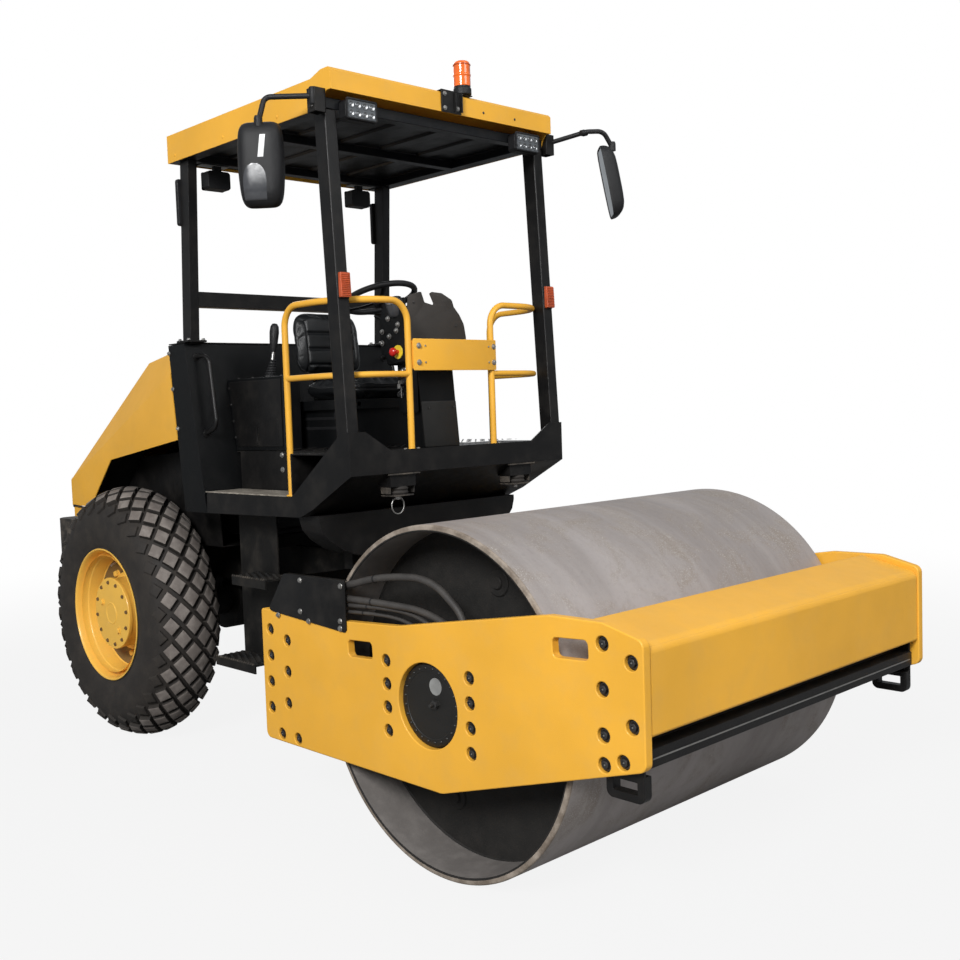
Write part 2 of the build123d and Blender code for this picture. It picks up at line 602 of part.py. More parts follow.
def rear_bumper():
    """Counterweight across the machine's tail."""
    x0, x1 = BUMPER_BACK_X, BUMPER_FRONT_X - GAP
    outline = [(x0, BUMPER_TOP_Z), (x1, BUMPER_TOP_Z), (x1, BUMPER_LOW_Z), (x0 + 60, BUMPER_LOW_Z)]
    outline.append((x0, 640))
    body = slab_xz(outline, -DECK_Y, DECK_Y)
    corners = body.edges().filter_by(Axis.Z).group_by(Axis.X)[0]
    return joined([chamfer(corners, 40), rear_eye(), flip(rear_eye())])


REAR_EYE_Y = (546.0, 576.0)
REAR_EYE_Z = (920.0, 1060.0)


def rear_eye():
    """Lashing eye welded behind the bumper, on the left."""
    y0, y1 = REAR_EYE_Y
    low, high = REAR_EYE_Z
    back = BUMPER_BACK_X - REAR_EYE_L
    eye = block(back, BUMPER_BACK_X + 1, y0, y1, low, high)
    eye = fillet(eye.edges().filter_by(Axis.Y).group_by(Axis.X)[0], 30)
    return eye - block(back + 26, BUMPER_BACK_X - 26, y0 - 1, y1 + 1, low + 30, high - 30)


# ---------------------------------------------------------------- operator's platform
DIAG_HIGH = (-758.0, 1555.0)
DIAG_LOW = (-1096.0, WELL_Z)
SIDE_OUTLINE = [           # x from the drum axle, z
    (-1793, WELL_LOW_Z), (-1785, WELL_Z), DIAG_LOW, DIAG_HIGH, (-714, 1570), (-686, 1570),
    (-686, DECK_LOW_Z), (-949, 1251), (-1044, WELL_LOW_Z + 12),
]
GUSSET = [                 # y, z of the front plate's raised corner
    (646, 1570), (560, 1570), (430, 1490),
]
BEAM_DEPTH = 90.0
MOUNT_X, MOUNT_Y = 580.0, 360.0        # front rubber mounts, under the platform's front beam
MOUNT_HALF, MOUNT_PLATE = 40.0, 70.0
MOUNT_TOP_Z = 1335.0
MOUNT_R, MOUNT_PAD = 42.0, 34.0       # rubber pad below each bracket
TANK_BACK_X, TANK_FRONT_X = 200.0, 345.0       # box hung from the belly plates
TANK_LOW = [               # y, z of its lower corner
    (600, 1195), (586, 1150), (548, 1106), (480, 1060), (400, 1030), (300, 1020),
]


def platform_frame():
    """Side plates with their gussets, the front beam and the belly plates."""
    side_wall = slab_xz([(DRUM_X + x, z) for x, z in SIDE_OUTLINE], -DECK_Y, DECK_T - DECK_Y)
    front = [(-y, z) for y, z in GUSSET] + [(y, z) for y, z in reversed(GUSSET)]
    front += [(DECK_Y, DECK_LOW_Z), (-DECK_Y, DECK_LOW_Z)]
    face = slab_yz(front, DECK_FRONT_X - DECK_T, DECK_FRONT_X)
    beam = block(DECK_FRONT_X - BEAM_DEPTH, DECK_FRONT_X, -DECK_Y, DECK_Y, DECK_LOW_Z, FLOOR_Z - DECK_T)
    belly = [(-686, DECK_LOW_Z), (-949, 1251), (-1044, WELL_LOW_Z + 12), (-1793, WELL_LOW_Z),
             (-1793, WELL_LOW_Z + 20), (-1044, WELL_LOW_Z + 32), (-949, 1271), (-700, 1405)]
    under = slab_xz([(DRUM_X + x, z) for x, z in belly], -DECK_Y, DECK_Y)
    mount = block(MOUNT_X - MOUNT_HALF, MOUNT_X + MOUNT_HALF, MOUNT_Y - MOUNT_PLATE, MOUNT_Y + MOUNT_PLATE,
                  MOUNT_TOP_Z, DECK_LOW_Z + 1)
    pad = rod((MOUNT_X, MOUNT_Y, MOUNT_TOP_Z - MOUNT_PAD), (MOUNT_X, MOUNT_Y, MOUNT_TOP_Z + 5), MOUNT_R)
    low = [(-y, z) for y, z in TANK_LOW] + [(y, z) for y, z in reversed(TANK_LOW)]
    tank = slab_yz(low, TANK_BACK_X, TANK_FRONT_X)
    tank += slab_xz([(TANK_BACK_X, 1194), (TANK_BACK_X, belly_z(TANK_BACK_X) + 4),
                     (TANK_FRONT_X, belly_z(TANK_FRONT_X) + 4), (TANK_FRONT_X, 1194)], -600, 600)
    brackets = [mount, flip(mount), pad, flip(pad)]
    return joined([face, beam, under, side_wall, flip(side_wall), tank] + brackets)


def platform_floor():
    """Main floor between the wells, both well floors and the risers."""
    back = bulk_front_x(FLOOR_Z - DECK_T) + GAP
    well_back = bulk_front_x(WELL_Z - DECK_T) + GAP
    beam_back = DECK_FRONT_X - BEAM_DEPTH
    y_in = DECK_Y - DECK_T - GAP
    parts = [block(WELL_FRONT_X, beam_back - GAP, -y_in, y_in, FLOOR_Z - DECK_T, FLOOR_Z),
             block(back, WELL_FRONT_X + 1, -WELL_Y, WELL_Y, FLOOR_Z - DECK_T, FLOOR_Z)]
    for side in (-1, 1):
        parts.append(block(well_back, WELL_FRONT_X + DECK_T, side * WELL_Y, side * y_in,
                           WELL_Z - DECK_T, WELL_Z))
        parts.append(block(WELL_FRONT_X, WELL_FRONT_X + DECK_T, side * WELL_Y, side * y_in,
                           WELL_Z - DECK_T, FLOOR_Z))
        parts.append(block(well_back, WELL_FRONT_X + DECK_T, side * WELL_Y, side * (WELL_Y - DECK_T),
                           WELL_Z - DECK_T, FLOOR_Z))
    return joined(parts)


def bulk_front_x(z):
    """Front face of the bulkhead, which leans back as it rises."""
    share = (z - WELL_LOW_Z) / (BULK_TOP_Z - WELL_LOW_Z)
    return WELL_BACK_X + share * (BULK_TOP_FRONT_X - WELL_BACK_X)


def bulk_back_x(z):
    share = (z - WELL_LOW_Z) / (BULK_TOP_Z - WELL_LOW_Z)
    return BULK_LOW_BACK_X + share * (BULK_TOP_BACK_X - BULK_LOW_BACK_X)


def bulkhead():
    """Tank behind the operator, with the ears of the hood's hinge."""
    outline = [(bulk_back_x(z), z) for z in (WELL_LOW_Z, BULK_TOP_Z)]
    outline += [(bulk_front_x(z), z) for z in (BULK_TOP_Z, WELL_LOW_Z)]
    body = slab_xz(outline, -DECK_Y, DECK_Y)
    y0, y1 = HINGE_Y
    for side in (-1, 1):
        for a, b in ((y0 - 30, y0 - 1), (y1 + 1, y1 + 30)):
            body += disc_y(HINGE_R, HINGE_X, HINGE_Z, side * a, side * b)
            body += block(HINGE_X, bulk_back_x(HINGE_Z) + 5, side * a, side * b, HINGE_Z - 6, HINGE_Z + 6)
        body += disc_y(HINGE_R / 2, HINGE_X, HINGE_Z, side * (y0 - 2), side * (y1 + 2))
    return body


CABINET_TOP_Z = 1833.0
CABINET_W = 100.0
CABINET_FRONT_X = -115.0


def cabinets():
    """Cabinets beside the seat, on the inner edges of the wells."""
    outline = [(bulk_front_x(FLOOR_Z) + GAP, FLOOR_Z), (bulk_front_x(CABINET_TOP_Z) + GAP, CABINET_TOP_Z),
               (CABINET_FRONT_X, CABINET_TOP_Z), (CABINET_FRONT_X, FLOOR_Z)]
    right = slab_xz(outline, -WELL_Y, CABINET_W - WELL_Y)
    return apart([right, flip(right)])


SEAT_Y, SEAT_W = -89.0, 460.0
SEAT_BACK_X, SEAT_FRONT_X = -190.0, 250.0
CUSHION_TOP_Z, CUSHION_T = 1812.0, 100.0
BACK_TOP_Z, BACK_T = 2155.0, 100.0


def seat_base():
    """Box and suspension plinth under the seat, with the back's upright."""
    y0, y1 = SEAT_Y - SEAT_W / 2 + 40, SEAT_Y + SEAT_W / 2 - 40
    base = block(SEAT_BACK_X - 60, SEAT_FRONT_X - 60, y0, y1, FLOOR_Z + GAP, 1668)
    under = CUSHION_TOP_Z - CUSHION_T - GAP
    base += block(SEAT_BACK_X - 20, SEAT_FRONT_X - 40, y0 - 25, y1 + 25, 1667, under)
    spine = block(SEAT_BACK_X - 75, SEAT_BACK_X - 53 - GAP, SEAT_Y - 60, SEAT_Y + 60, 1600, 2000)
    return base + spine + block(SEAT_BACK_X - 70, SEAT_BACK_X, SEAT_Y - 60, SEAT_Y + 60, 1600, 1668)


def seat_cushion():
    body = block(SEAT_BACK_X, SEAT_FRONT_X, SEAT_Y - SEAT_W / 2, SEAT_Y + SEAT_W / 2,
                 CUSHION_TOP_Z - CUSHION_T, CUSHION_TOP_Z)
    return fillet(body.edges().filter_by(Axis.Z), 50)


def seat_back():
    lean = 40.0
    x0, z0 = SEAT_BACK_X + 45, CUSHION_TOP_Z + 4
    outline = [(x0 - 98, z0), (x0 - 2, z0), (x0 - lean, BACK_TOP_Z), (x0 - 98, BACK_TOP_Z)]
    body = slab_xz(outline, SEAT_Y - SEAT_W / 2 + 10, SEAT_Y + SEAT_W / 2 - 10)
    return fillet(body.edges().filter_by(Axis.X).group_by(Axis.Z)[-1], 60)


CONSOLE_X = DRUM_X - 780.0
CONSOLE_OUTLINE = [        # y, z of the sheet in front of the controls
    (-181, FLOOR_Z + GAP), (72, FLOOR_Z + GAP), (115, 2003), (80, 2055), (50, 2093), (27, 2135), (-75, 2162),
    (-87, 2162), (-87, 2110), (-143, 2110), (-143, 2165), (-225, 2165), (-240, 2130), (-236, 1990),
]
CONSOLE_BOX = [            # y, z of the box behind it
    (-179, FLOOR_Z + GAP), (70, FLOOR_Z + GAP), (108, 1970), (-232, 1990),
]
CONSOLE_DEPTH = 165.0
WHEEL_HUB = (212.0, -45.0, 2188.0)
WHEEL_RING_R, WHEEL_GRIP_R = 190.0, 14.0
WHEEL_TILT = 12.0


def console_box():
    return slab_yz(CONSOLE_BOX, CONSOLE_X - CONSOLE_DEPTH, CONSOLE_X - DECK_T + 1)


def console():
    return slab_yz(CONSOLE_OUTLINE, CONSOLE_X - DECK_T, CONSOLE_X) + console_box()


def steering_wheel():
    """Wheel, three spokes, hub and the column down to the console."""
    place = Pos(*WHEEL_HUB) * Rot(0, -WHEEL_TILT, 0)
    wheel = Torus(WHEEL_RING_R, WHEEL_GRIP_R)
    wheel += Pos(0, 0, -20) * Cylinder(34, 40)
    for turn in (0, 120, 240):
        wheel += Rot(0, 0, turn) * block(0, WHEEL_RING_R, -13, 13, -18, -6)
    foot = Vector(CONSOLE_X - CONSOLE_DEPTH + 60, WHEEL_HUB[1], 1940)
    hub = Vector(*WHEEL_HUB)
    column = rod(foot, hub - (hub - foot).normalized() * 20, 24)
    column -= Pos(0, 0, GAP) * console_box()
    return place * wheel + column


# ---------------------------------------------------------------- roll-over frame and roof
POST_FRONT_TOP_X = 531.0
POST_BACK_LOW_X, POST_BACK_TOP_X = -623.0, -570.0


def front_posts():
    """Front posts, leaning back to the roof."""
    x_low = DECK_FRONT_X - DECK_T - GAP - POST / 2
    y = DECK_T + GAP + POST / 2 - DECK_Y
    post = upright((x_low, y, FLOOR_Z - DECK_T + GAP), (POST_FRONT_TOP_X, y, ROOF_LOW_Z - GAP), POST, POST)
    return apart([post, flip(post)])


CROSSBAR_Z = (2184.0, 2256.0)


def rear_posts():
    """Both rear posts with the bar between them."""
    post = upright((POST_BACK_LOW_X, -POST_BACK_Y, BULK_TOP_Z + GAP),
                   (POST_BACK_TOP_X, -POST_BACK_Y, ROOF_LOW_Z - GAP), POST, POST)
    z0, z1 = CROSSBAR_Z
    share = (z0 - BULK_TOP_Z) / (ROOF_LOW_Z - BULK_TOP_Z)
    x = POST_BACK_LOW_X + share * (POST_BACK_TOP_X - POST_BACK_LOW_X)
    y = POST_BACK_Y - POST / 2 + 1
    return joined([post, flip(post), block(x - 18, x + 22, -y, y, z0, z1)])


def roof_frame():
    """Tubes that carry the roof, and the liner on top of them."""
    y0, y1 = POST_BACK_Y - POST / 2, ROOF_Y - ROOF_T - GAP
    x0, x1 = ROOF_BACK_X + ROOF_T + GAP, POST_FRONT_TOP_X + POST / 2
    z0, z1 = ROOF_LOW_Z, ROOF_LOW_Z + ROOF_TUBE_H
    parts = [block(x0, x1, -y1, y1, z1 - 1, z1 + 4)]
    for side in (-1, 1):
        parts.append(block(x0, x1, side * y0, side * y1, z0, z1))
    for x in (POST_BACK_TOP_X, -20.0, POST_FRONT_TOP_X):
        parts.append(block(x - 25, x + 24, -y0 - 1, y0 + 1, z0, z1))
    return joined(parts)


def canopy():
    """Roof skin with side skirts and the raised visor in front."""
    x0, x1 = ROOF_BACK_X, ROOF_FRONT_X
    outline = [(x0, ROOF_LOW_Z), (x0, ROOF_TOP_Z), (x1 - 130, ROOF_TOP_Z), (x1 - 60, VISOR_TOP_Z),
               (x1 - 12, VISOR_TOP_Z), (x1, VISOR_TOP_Z - 12), (x1, VISOR_LOW_Z), (x1 - 30, VISOR_LOW_Z),
               (x1 - 48, VISOR_LOW_Z - 18), (x1 - 60, ROOF_LOW_Z + 12), (x1 - 75, ROOF_LOW_Z)]
    skin = slab_xz(outline, -ROOF_Y, ROOF_Y)
    t = ROOF_T
    inner = [(x0 + t, ROOF_LOW_Z - 60), (x0 + t, ROOF_TOP_Z - t), (x1 - 130, ROOF_TOP_Z - t),
             (x1 - 58, VISOR_TOP_Z - t), (x1 - t, VISOR_TOP_Z - t), (x1 - t, VISOR_LOW_Z - 90)]
    skin -= slab_xz(inner, t - ROOF_Y, ROOF_Y - t)
    for x in (x1 - 160, POST_BACK_TOP_X):
        skin += block(x - 20, x + 20, 1 - ROOF_Y + t, ROOF_Y - t - 1,
                      ROOF_LOW_Z + ROOF_TUBE_H + 4 + GAP, ROOF_TOP_Z - t + 1)
    return skin


# ---------------------------------------------------------------- lamps, beacon, mirrors
LAMP_Y, LAMP_W, LAMP_H, LAMP_D = 493.0, 160.0, 84.0, 44.0
REAR_LAMP_Y = 440.0
MARKER_Z, MARKER_H, MARKER_W, MARKER_D = 2163.0, 100.0, 50.0, 22.0
BEACON_Y, BEACON_R = 98.0, 34.0
BEACON_H = 160.0           # above the visor
MIRROR_Y = 880.0
MIRROR_W, MIRROR_H, MIRROR_T = 185.0, 335.0, 62.0
MIRROR_ARM_R = 11.0


def front_lamp():
    """Work lamp on the front of the roof frame, on the left."""
    x = POST_FRONT_TOP_X + 24 + GAP
    high = ROOF_LOW_Z + ROOF_TUBE_H
    lamp = block(x, x + LAMP_D, LAMP_Y - LAMP_W / 2, LAMP_Y + LAMP_W / 2, high - LAMP_H, high)
    return chamfer(lamp.edges().filter_by(Axis.X), 12)


def rear_lamp():
    """Work lamp hung under the roof frame's rear tube, on the left."""
    x, y = POST_BACK_TOP_X, REAR_LAMP_Y
    lamp = block(x - 45, x + 15, y - 62, y + 62, ROOF_LOW_Z - 116, ROOF_LOW_Z - 30)
    lamp = chamfer(lamp.edges().filter_by(Axis.X), 10)
    return lamp + block(x - 20, x + 5, y - 20, y + 20, ROOF_LOW_Z - 31, ROOF_LOW_Z - GAP)


def work_lamps():
    lamps = [front_lamp(), rear_lamp()]
    return apart(lamps + [flip(lamp) for lamp in lamps])


def beacon():
    """Flashing lamp on its bracket at the front of the roof."""
    x = ROOF_FRONT_X
    plate = block(x + GAP, x + 6, BEACON_Y - 34, BEACON_Y + 34, VISOR_LOW_Z, VISOR_TOP_Z + 8)
    shelf = block(x - 44, x + 6, BEACON_Y - 34, BEACON_Y + 34, VISOR_TOP_Z + GAP, VISOR_TOP_Z + 8)
    centre = (x - 22, BEACON_Y)
    foot = rod((*centre, VISOR_TOP_Z + 7), (*centre, VISOR_TOP_Z + 38), BEACON_R + 6)
    dome = rod((*centre, VISOR_TOP_Z + 37), (*centre, VISOR_TOP_Z + BEACON_H), BEACON_R)
    return plate + shelf + foot + fillet(dome.edges().group_by(Axis.Z)[-1], 12)


def marker_lamps():
    """Direction lamps on the front posts."""
    share = (MARKER_Z - FLOOR_Z) / (ROOF_LOW_Z - FLOOR_Z)
    x_low = DECK_FRONT_X - DECK_T - GAP
    x = x_low + share * (POST_FRONT_TOP_X + POST / 2 - x_low)
    lean = (POST_FRONT_TOP_X + POST / 2 - x_low) / (ROOF_LOW_Z - FLOOR_Z)
    y = DECK_T + GAP + POST / 2 - DECK_Y
    half = MARKER_H / 2
    outline = [(x - lean * half + GAP, MARKER_Z - half), (x - lean * half + MARKER_D, MARKER_Z - half),
               (x + lean * half + MARKER_D, MARKER_Z + half), (x + lean * half + GAP, MARKER_Z + half)]
    lamp = slab_xz(outline, y - MARKER_W / 2, y + MARKER_W / 2)
    return apart([lamp, flip(lamp)])


MIRRORS = {                # pad's x, pad's z, arm's points from the clamp to the pad
    "right": (433.0, 2640.0, [(560.0, 700.0, 2902.0), (470.0, 790.0, 2905.0), (425.0, 840.0, 2905.0),
                              (433.0, 880.0, 2800.0)]),
    "left": (791.0, 2700.0, [(560.0, 700.0, 2902.0), (730.0, 770.0, 2930.0), (780.0, 830.0, 2930.0),
                             (791.0, 880.0, 2860.0)]),
}
CLAMP = (34.0, 50.0, 92.0)


def rear_mirror(pad_x, pad_z, arm):
    """Clamp on the front post's head, bent arm and pad, as a left-hand piece."""
    low_x, low_y, low_z = arm[0]
    clamp = block(low_x - CLAMP[0], low_x + CLAMP[0] / 2, ROOF_Y + GAP, low_y + 8, low_z - 60, low_z + 32)
    pipe_line = pipe(arm, [20.0, 20.0], MIRROR_ARM_R)
    pad = Box(MIRROR_T, MIRROR_W, MIRROR_H)
    pad = fillet(pad.edges().filter_by(Axis.X), 34)
    pad = fillet(pad.edges().group_by(Axis.X)[-1], 16)
    pad = Pos(pad_x, MIRROR_Y, pad_z) * Rot(0, 0, 45) * pad
    return clamp + pipe_line + pad


def mirrors():
    return apart([flip(rear_mirror(*MIRRORS["right"])), rear_mirror(*MIRRORS["left"])])


# ---------------------------------------------------------------- handrails, plate and steps
RAIL_BACK_X = WELL_FRONT_X - 21.0
RAIL_BEND, RAIL_SWEEP = 90.0, 230.0
RAIL_ENDS = {"right": 294.0, "left": 202.0}


def handrail(end_y):
    """Rail round the platform's front corner, drawn on the left and ending at end_y."""
    y = RAIL_LINE_Y
    back, front, top = RAIL_BACK_X, RAIL_FRONT_X, RAIL_HIGH_Z
    outer = pipe([(back, y, WELL_Z + GAP), (back, y, top), (front, y, top), (front, end_y, top),
                  (front, end_y, FLOOR_Z - DECK_T + GAP)], [RAIL_BEND, RAIL_SWEEP, RAIL_BEND], RAIL_R)
    middle = pipe([(back, y, RAIL_MID_Z), (front, y, RAIL_MID_Z), (front, end_y, RAIL_MID_Z)],
                  [RAIL_SWEEP], RAIL_R - 1)
    return outer + middle


def handrails():
    return apart([flip(handrail(RAIL_ENDS["right"])), handrail(RAIL_ENDS["left"])])


PLATE_Z = (1819.0, 1953.0)


def name_plate():
    """Blank plate between the two handrails."""
    return block(RAIL_FRONT_X - 3, RAIL_FRONT_X + 3, RAIL_R + GAP - RAIL_ENDS["right"],
                 RAIL_ENDS["left"] - RAIL_R - GAP, *PLATE_Z)


STEP_TREADS = [            # back x, front x, top z
    (-290.0, -20.0, 915.0), (-460.0, -130.0, 515.0),
]
STEP_IN_Y = 486.0
STEP_T = 8.0
HANGER_TOP = (-455.0, -140.0)


def steps():
    """Hanger with two treads on each side."""
    top = [(x, belly_z(x) - GAP) for x in HANGER_TOP]
    hanger = slab_xz(top + [(-150, 480), (-455, 480)],
                     -STEP_IN_Y, STEP_T - STEP_IN_Y)
    parts = [hanger]
    for x0, x1, z in STEP_TREADS:
        parts.append(block(x0, x1, -DECK_Y, 1 - STEP_IN_Y, z - STEP_T, z))
        parts.append(block(x0, x1, -DECK_Y, STEP_T - DECK_Y, z - 40, z))
    right = joined(parts)
    return apart([right, flip(right)])


# ---------------------------------------------------------------- every node
def nodes():
    """Names of the single pieces and their solids."""
    yield "drum", drum()
    yield "front_beam", front_beam()
    yield "scraper_bar", scraper_bar()
    yield "rear_crossbeam", rear_crossbeam()
    yield "hose_guard", hose_guard()
    yield "drum_hoses", drum_hoses()
    yield "hitch", hitch()
    yield "chassis", chassis()
    yield "rear_axle", rear_axle()
    yield "engine_block", engine_block()
    yield "engine_bay", engine_bay()
    yield "engine_hood", hood()
    yield "rear_bumper", rear_bumper()
    yield "platform_frame", platform_frame()
    yield "platform_floor", platform_floor()
    yield "bulkhead", bulkhead()
    yield "seat_base", seat_base()
    yield "seat_cushion", seat_cushion()
    yield "seat_back", seat_back()
    yield "console", console()
    yield "steering_wheel", steering_wheel()
    yield "front_posts", front_posts()
    yield "rear_posts", rear_posts()
    yield "handrails", handrails()
    yield "mirrors", mirrors()
    yield "roof_frame", roof_frame()
    yield "canopy", canopy()
    yield "work_lamps", work_lamps()
    yield "beacon", beacon()
    yield "marker_lamps", marker_lamps()
    yield "name_plate", name_plate()
    yield "lashing_eyes", lashing_eyes()
    yield "cabinets", cabinets()
    yield "steps", steps()


def paired_nodes():
    """Right-hand pieces that have a mirror image on the left."""
    yield "side_plate", side_plate()
    yield "drum_carrier", drum_carrier()
    yield "steering_barrel", steering_barrel()
    yield "steering_rod", steering_rod()
    yield "rim", rim()
    yield "tyre", tyre()


def save(name, part):
    """Write one node's STEP file."""
    part.label = name
    export_step(part, f"parts/{name}.step")


os.makedirs("parts", exist_ok=True)
for name, part in nodes():
    save(name, part)
for name, part in paired_nodes():
    save(f"{name}_right", part)
    save(f"{name}_left", flip(part))
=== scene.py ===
"""Single-drum road roller: the look of every piece over the fixed model.

Shapes are arrays: a profile carried along a path, or a grid over two parameters.
"""
import json
import math

import bpy
import bmesh
import numpy as np
from mathutils import Matrix, Vector
from mathutils.bvhtree import BVHTree
from mathutils.geometry import tessellate_polygon

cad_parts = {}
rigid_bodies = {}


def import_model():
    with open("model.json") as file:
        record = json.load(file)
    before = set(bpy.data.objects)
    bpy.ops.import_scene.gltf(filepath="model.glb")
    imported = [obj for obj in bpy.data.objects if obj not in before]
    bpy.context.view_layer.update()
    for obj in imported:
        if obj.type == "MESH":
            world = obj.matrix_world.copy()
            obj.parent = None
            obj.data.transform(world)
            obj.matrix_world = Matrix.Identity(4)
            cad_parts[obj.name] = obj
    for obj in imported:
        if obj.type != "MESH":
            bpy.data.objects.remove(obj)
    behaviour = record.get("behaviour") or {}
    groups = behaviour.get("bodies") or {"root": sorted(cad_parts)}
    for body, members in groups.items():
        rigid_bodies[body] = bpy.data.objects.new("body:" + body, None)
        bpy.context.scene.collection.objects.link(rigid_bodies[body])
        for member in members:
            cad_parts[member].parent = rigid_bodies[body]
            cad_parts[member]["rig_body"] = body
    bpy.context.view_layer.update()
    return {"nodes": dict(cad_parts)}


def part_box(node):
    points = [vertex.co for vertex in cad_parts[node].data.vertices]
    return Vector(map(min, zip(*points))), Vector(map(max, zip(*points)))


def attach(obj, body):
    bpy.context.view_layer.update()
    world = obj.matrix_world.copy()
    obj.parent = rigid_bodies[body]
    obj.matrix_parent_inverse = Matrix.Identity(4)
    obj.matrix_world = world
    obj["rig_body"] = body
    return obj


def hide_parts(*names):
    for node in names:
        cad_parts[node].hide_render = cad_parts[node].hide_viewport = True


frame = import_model()

TAU = 2 * math.pi
RIGHT, LEFT = -1, 1
SIDES = (RIGHT, LEFT)


def low(node):
    return np.array(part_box(node)[0])


def high(node):
    return np.array(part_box(node)[1])


def middle(node):
    return (low(node) + high(node)) / 2


# ---------------------------------------------------------------- node groups
def new_group(name, inputs, outputs):
    """Empty shader node group with (name, socket type, default) inputs and (name, socket type) outputs."""
    tree = bpy.data.node_groups.new(name, "ShaderNodeTree")
    for label, kind, value in inputs:
        made = tree.interface.new_socket(name=label, in_out="INPUT", socket_type=kind)
        made.default_value = value
    for label, kind in outputs:
        tree.interface.new_socket(name=label, in_out="OUTPUT", socket_type=kind)
    return tree, tree.nodes.new("NodeGroupInput"), tree.nodes.new("NodeGroupOutput")


class Wires:
    """Short calls for adding nodes to one tree and joining them."""

    def __init__(self, tree):
        self.tree = tree

    def add(self, kind, **values):
        node = self.tree.nodes.new(kind)
        for key, value in values.items():
            setattr(node, key, value)
        return node

    def join(self, source, target):
        self.tree.links.new(source, target)

    def put(self, socket, value):
        if isinstance(value, bpy.types.NodeSocket):
            self.join(value, socket)
        else:
            socket.default_value = value

    def noise(self, vector, scale, detail=4.0, rough=0.55, distortion=0.0):
        node = self.add("ShaderNodeTexNoise")
        self.put(node.inputs["Vector"], vector)
        self.put(node.inputs["Scale"], scale)
        node.inputs["Detail"].default_value = detail
        node.inputs["Roughness"].default_value = rough
        node.inputs["Distortion"].default_value = distortion
        return node.outputs["Fac"]

    def math(self, operation, a, b=0.0, clamp=False):
        node = self.add("ShaderNodeMath", operation=operation, use_clamp=clamp)
        self.put(node.inputs[0], a)
        self.put(node.inputs[1], b)
        return node.outputs[0]

    def band(self, value, start, end, out_low=0.0, out_high=1.0):
        node = self.add("ShaderNodeMapRange", interpolation_type="SMOOTHSTEP")
        self.put(node.inputs["Value"], value)
        self.put(node.inputs["From Min"], start)
        self.put(node.inputs["From Max"], end)
        self.put(node.inputs["To Min"], out_low)
        self.put(node.inputs["To Max"], out_high)
        return node.outputs["Result"]

    def mix(self, factor, a, b, blend="MIX"):
        node = self.add("ShaderNodeMix", data_type="RGBA", blend_type=blend)
        self.put(node.inputs["Factor"], factor)
        self.put(node.inputs[6], a)
        self.put(node.inputs[7], b)
        return node.outputs[2]

    def stretch(self, vector, scale, place=(0, 0, 0), turn=(0, 0, 0)):
        node = self.add("ShaderNodeMapping")
        self.put(node.inputs["Vector"], vector)
        node.inputs["Scale"].default_value = scale
        node.inputs["Location"].default_value = place
        node.inputs["Rotation"].default_value = turn
        return node.outputs["Vector"]


def paint_group():
    """Orange-peel height, faint blotches and scattered dust for painted sheet."""
    tree, source, sink = new_group("paint_film", [
        ("Paint", "NodeSocketColor", (0.8, 0.4, 0.05, 1)), ("Soil", "NodeSocketColor", (0.3, 0.25, 0.2, 1)),
        ("Soiling", "NodeSocketFloat", 0.2), ("Gloss", "NodeSocketFloat", 0.35),
        ("Peel", "NodeSocketFloat", 1.0)],
        [("Colour", "NodeSocketColor"), ("Roughness", "NodeSocketFloat"), ("Height", "NodeSocketFloat")])
    w = Wires(tree)
    place = w.add("ShaderNodeTexCoord").outputs["Object"]
    broad = w.noise(place, 1.7, 3.0)
    blotch = w.noise(place, 9.0, 5.0, 0.6)
    speck = w.noise(place, 160.0, 2.0, 0.7)
    streak = w.noise(w.stretch(place, (14, 14, 1.2)), 1.0, 4.0, 0.6)
    facing = w.add("ShaderNodeSeparateXYZ")
    w.join(w.add("ShaderNodeNewGeometry").outputs["Normal"], facing.inputs[0])
    upward = w.band(facing.outputs["Z"], 0.2, 1.0)
    soil = w.math("MULTIPLY", w.band(blotch, 0.42, 0.75), source.outputs["Soiling"])
    soil = w.math("ADD", soil, w.math("MULTIPLY", w.math("MULTIPLY", upward, w.band(streak, 0.3, 0.8)),
                                      source.outputs["Soiling"]), clamp=True)
    dots = w.math("MULTIPLY", w.band(speck, 0.66, 0.74), source.outputs["Soiling"])
    soil = w.math("ADD", soil, dots, clamp=True)
    shade = w.mix(w.band(broad, 0.25, 0.8, 0.0, 0.16), source.outputs["Paint"], (0.0, 0.0, 0.0, 1))
    w.join(w.mix(soil, shade, source.outputs["Soil"]), sink.inputs["Colour"])
    rough = w.math("ADD", source.outputs["Gloss"], w.math("MULTIPLY", soil, 0.45), clamp=True)
    rough = w.math("ADD", rough, w.band(blotch, 0.3, 0.8, -0.04, 0.08), clamp=True)
    w.join(rough, sink.inputs["Roughness"])
    peel = w.noise(place, 420.0, 2.0, 0.5)
    w.join(w.math("MULTIPLY", w.math("MULTIPLY", peel, 0.0006), source.outputs["Peel"]),
           sink.inputs["Height"])
    return tree


PAINT = paint_group()


def shader(name, **plain):
    """Material with a Principled shader whose plain values sit on its own sockets."""
    made = bpy.data.materials.new(name)
    made.use_nodes = True
    tree = made.node_tree
    surface = tree.nodes["Principled BSDF"]
    for key, value in plain.items():
        surface.inputs[key.replace("_", " ")].default_value = value
    return made, Wires(tree), surface


def raise_bump(w, surface, height, strength=1.0, distance=1.0):
    bump = w.add("ShaderNodeBump")
    bump.inputs["Strength"].default_value = strength
    bump.inputs["Distance"].default_value = distance
    w.put(bump.inputs["Height"], height)
    w.join(bump.outputs["Normal"], surface.inputs["Normal"])


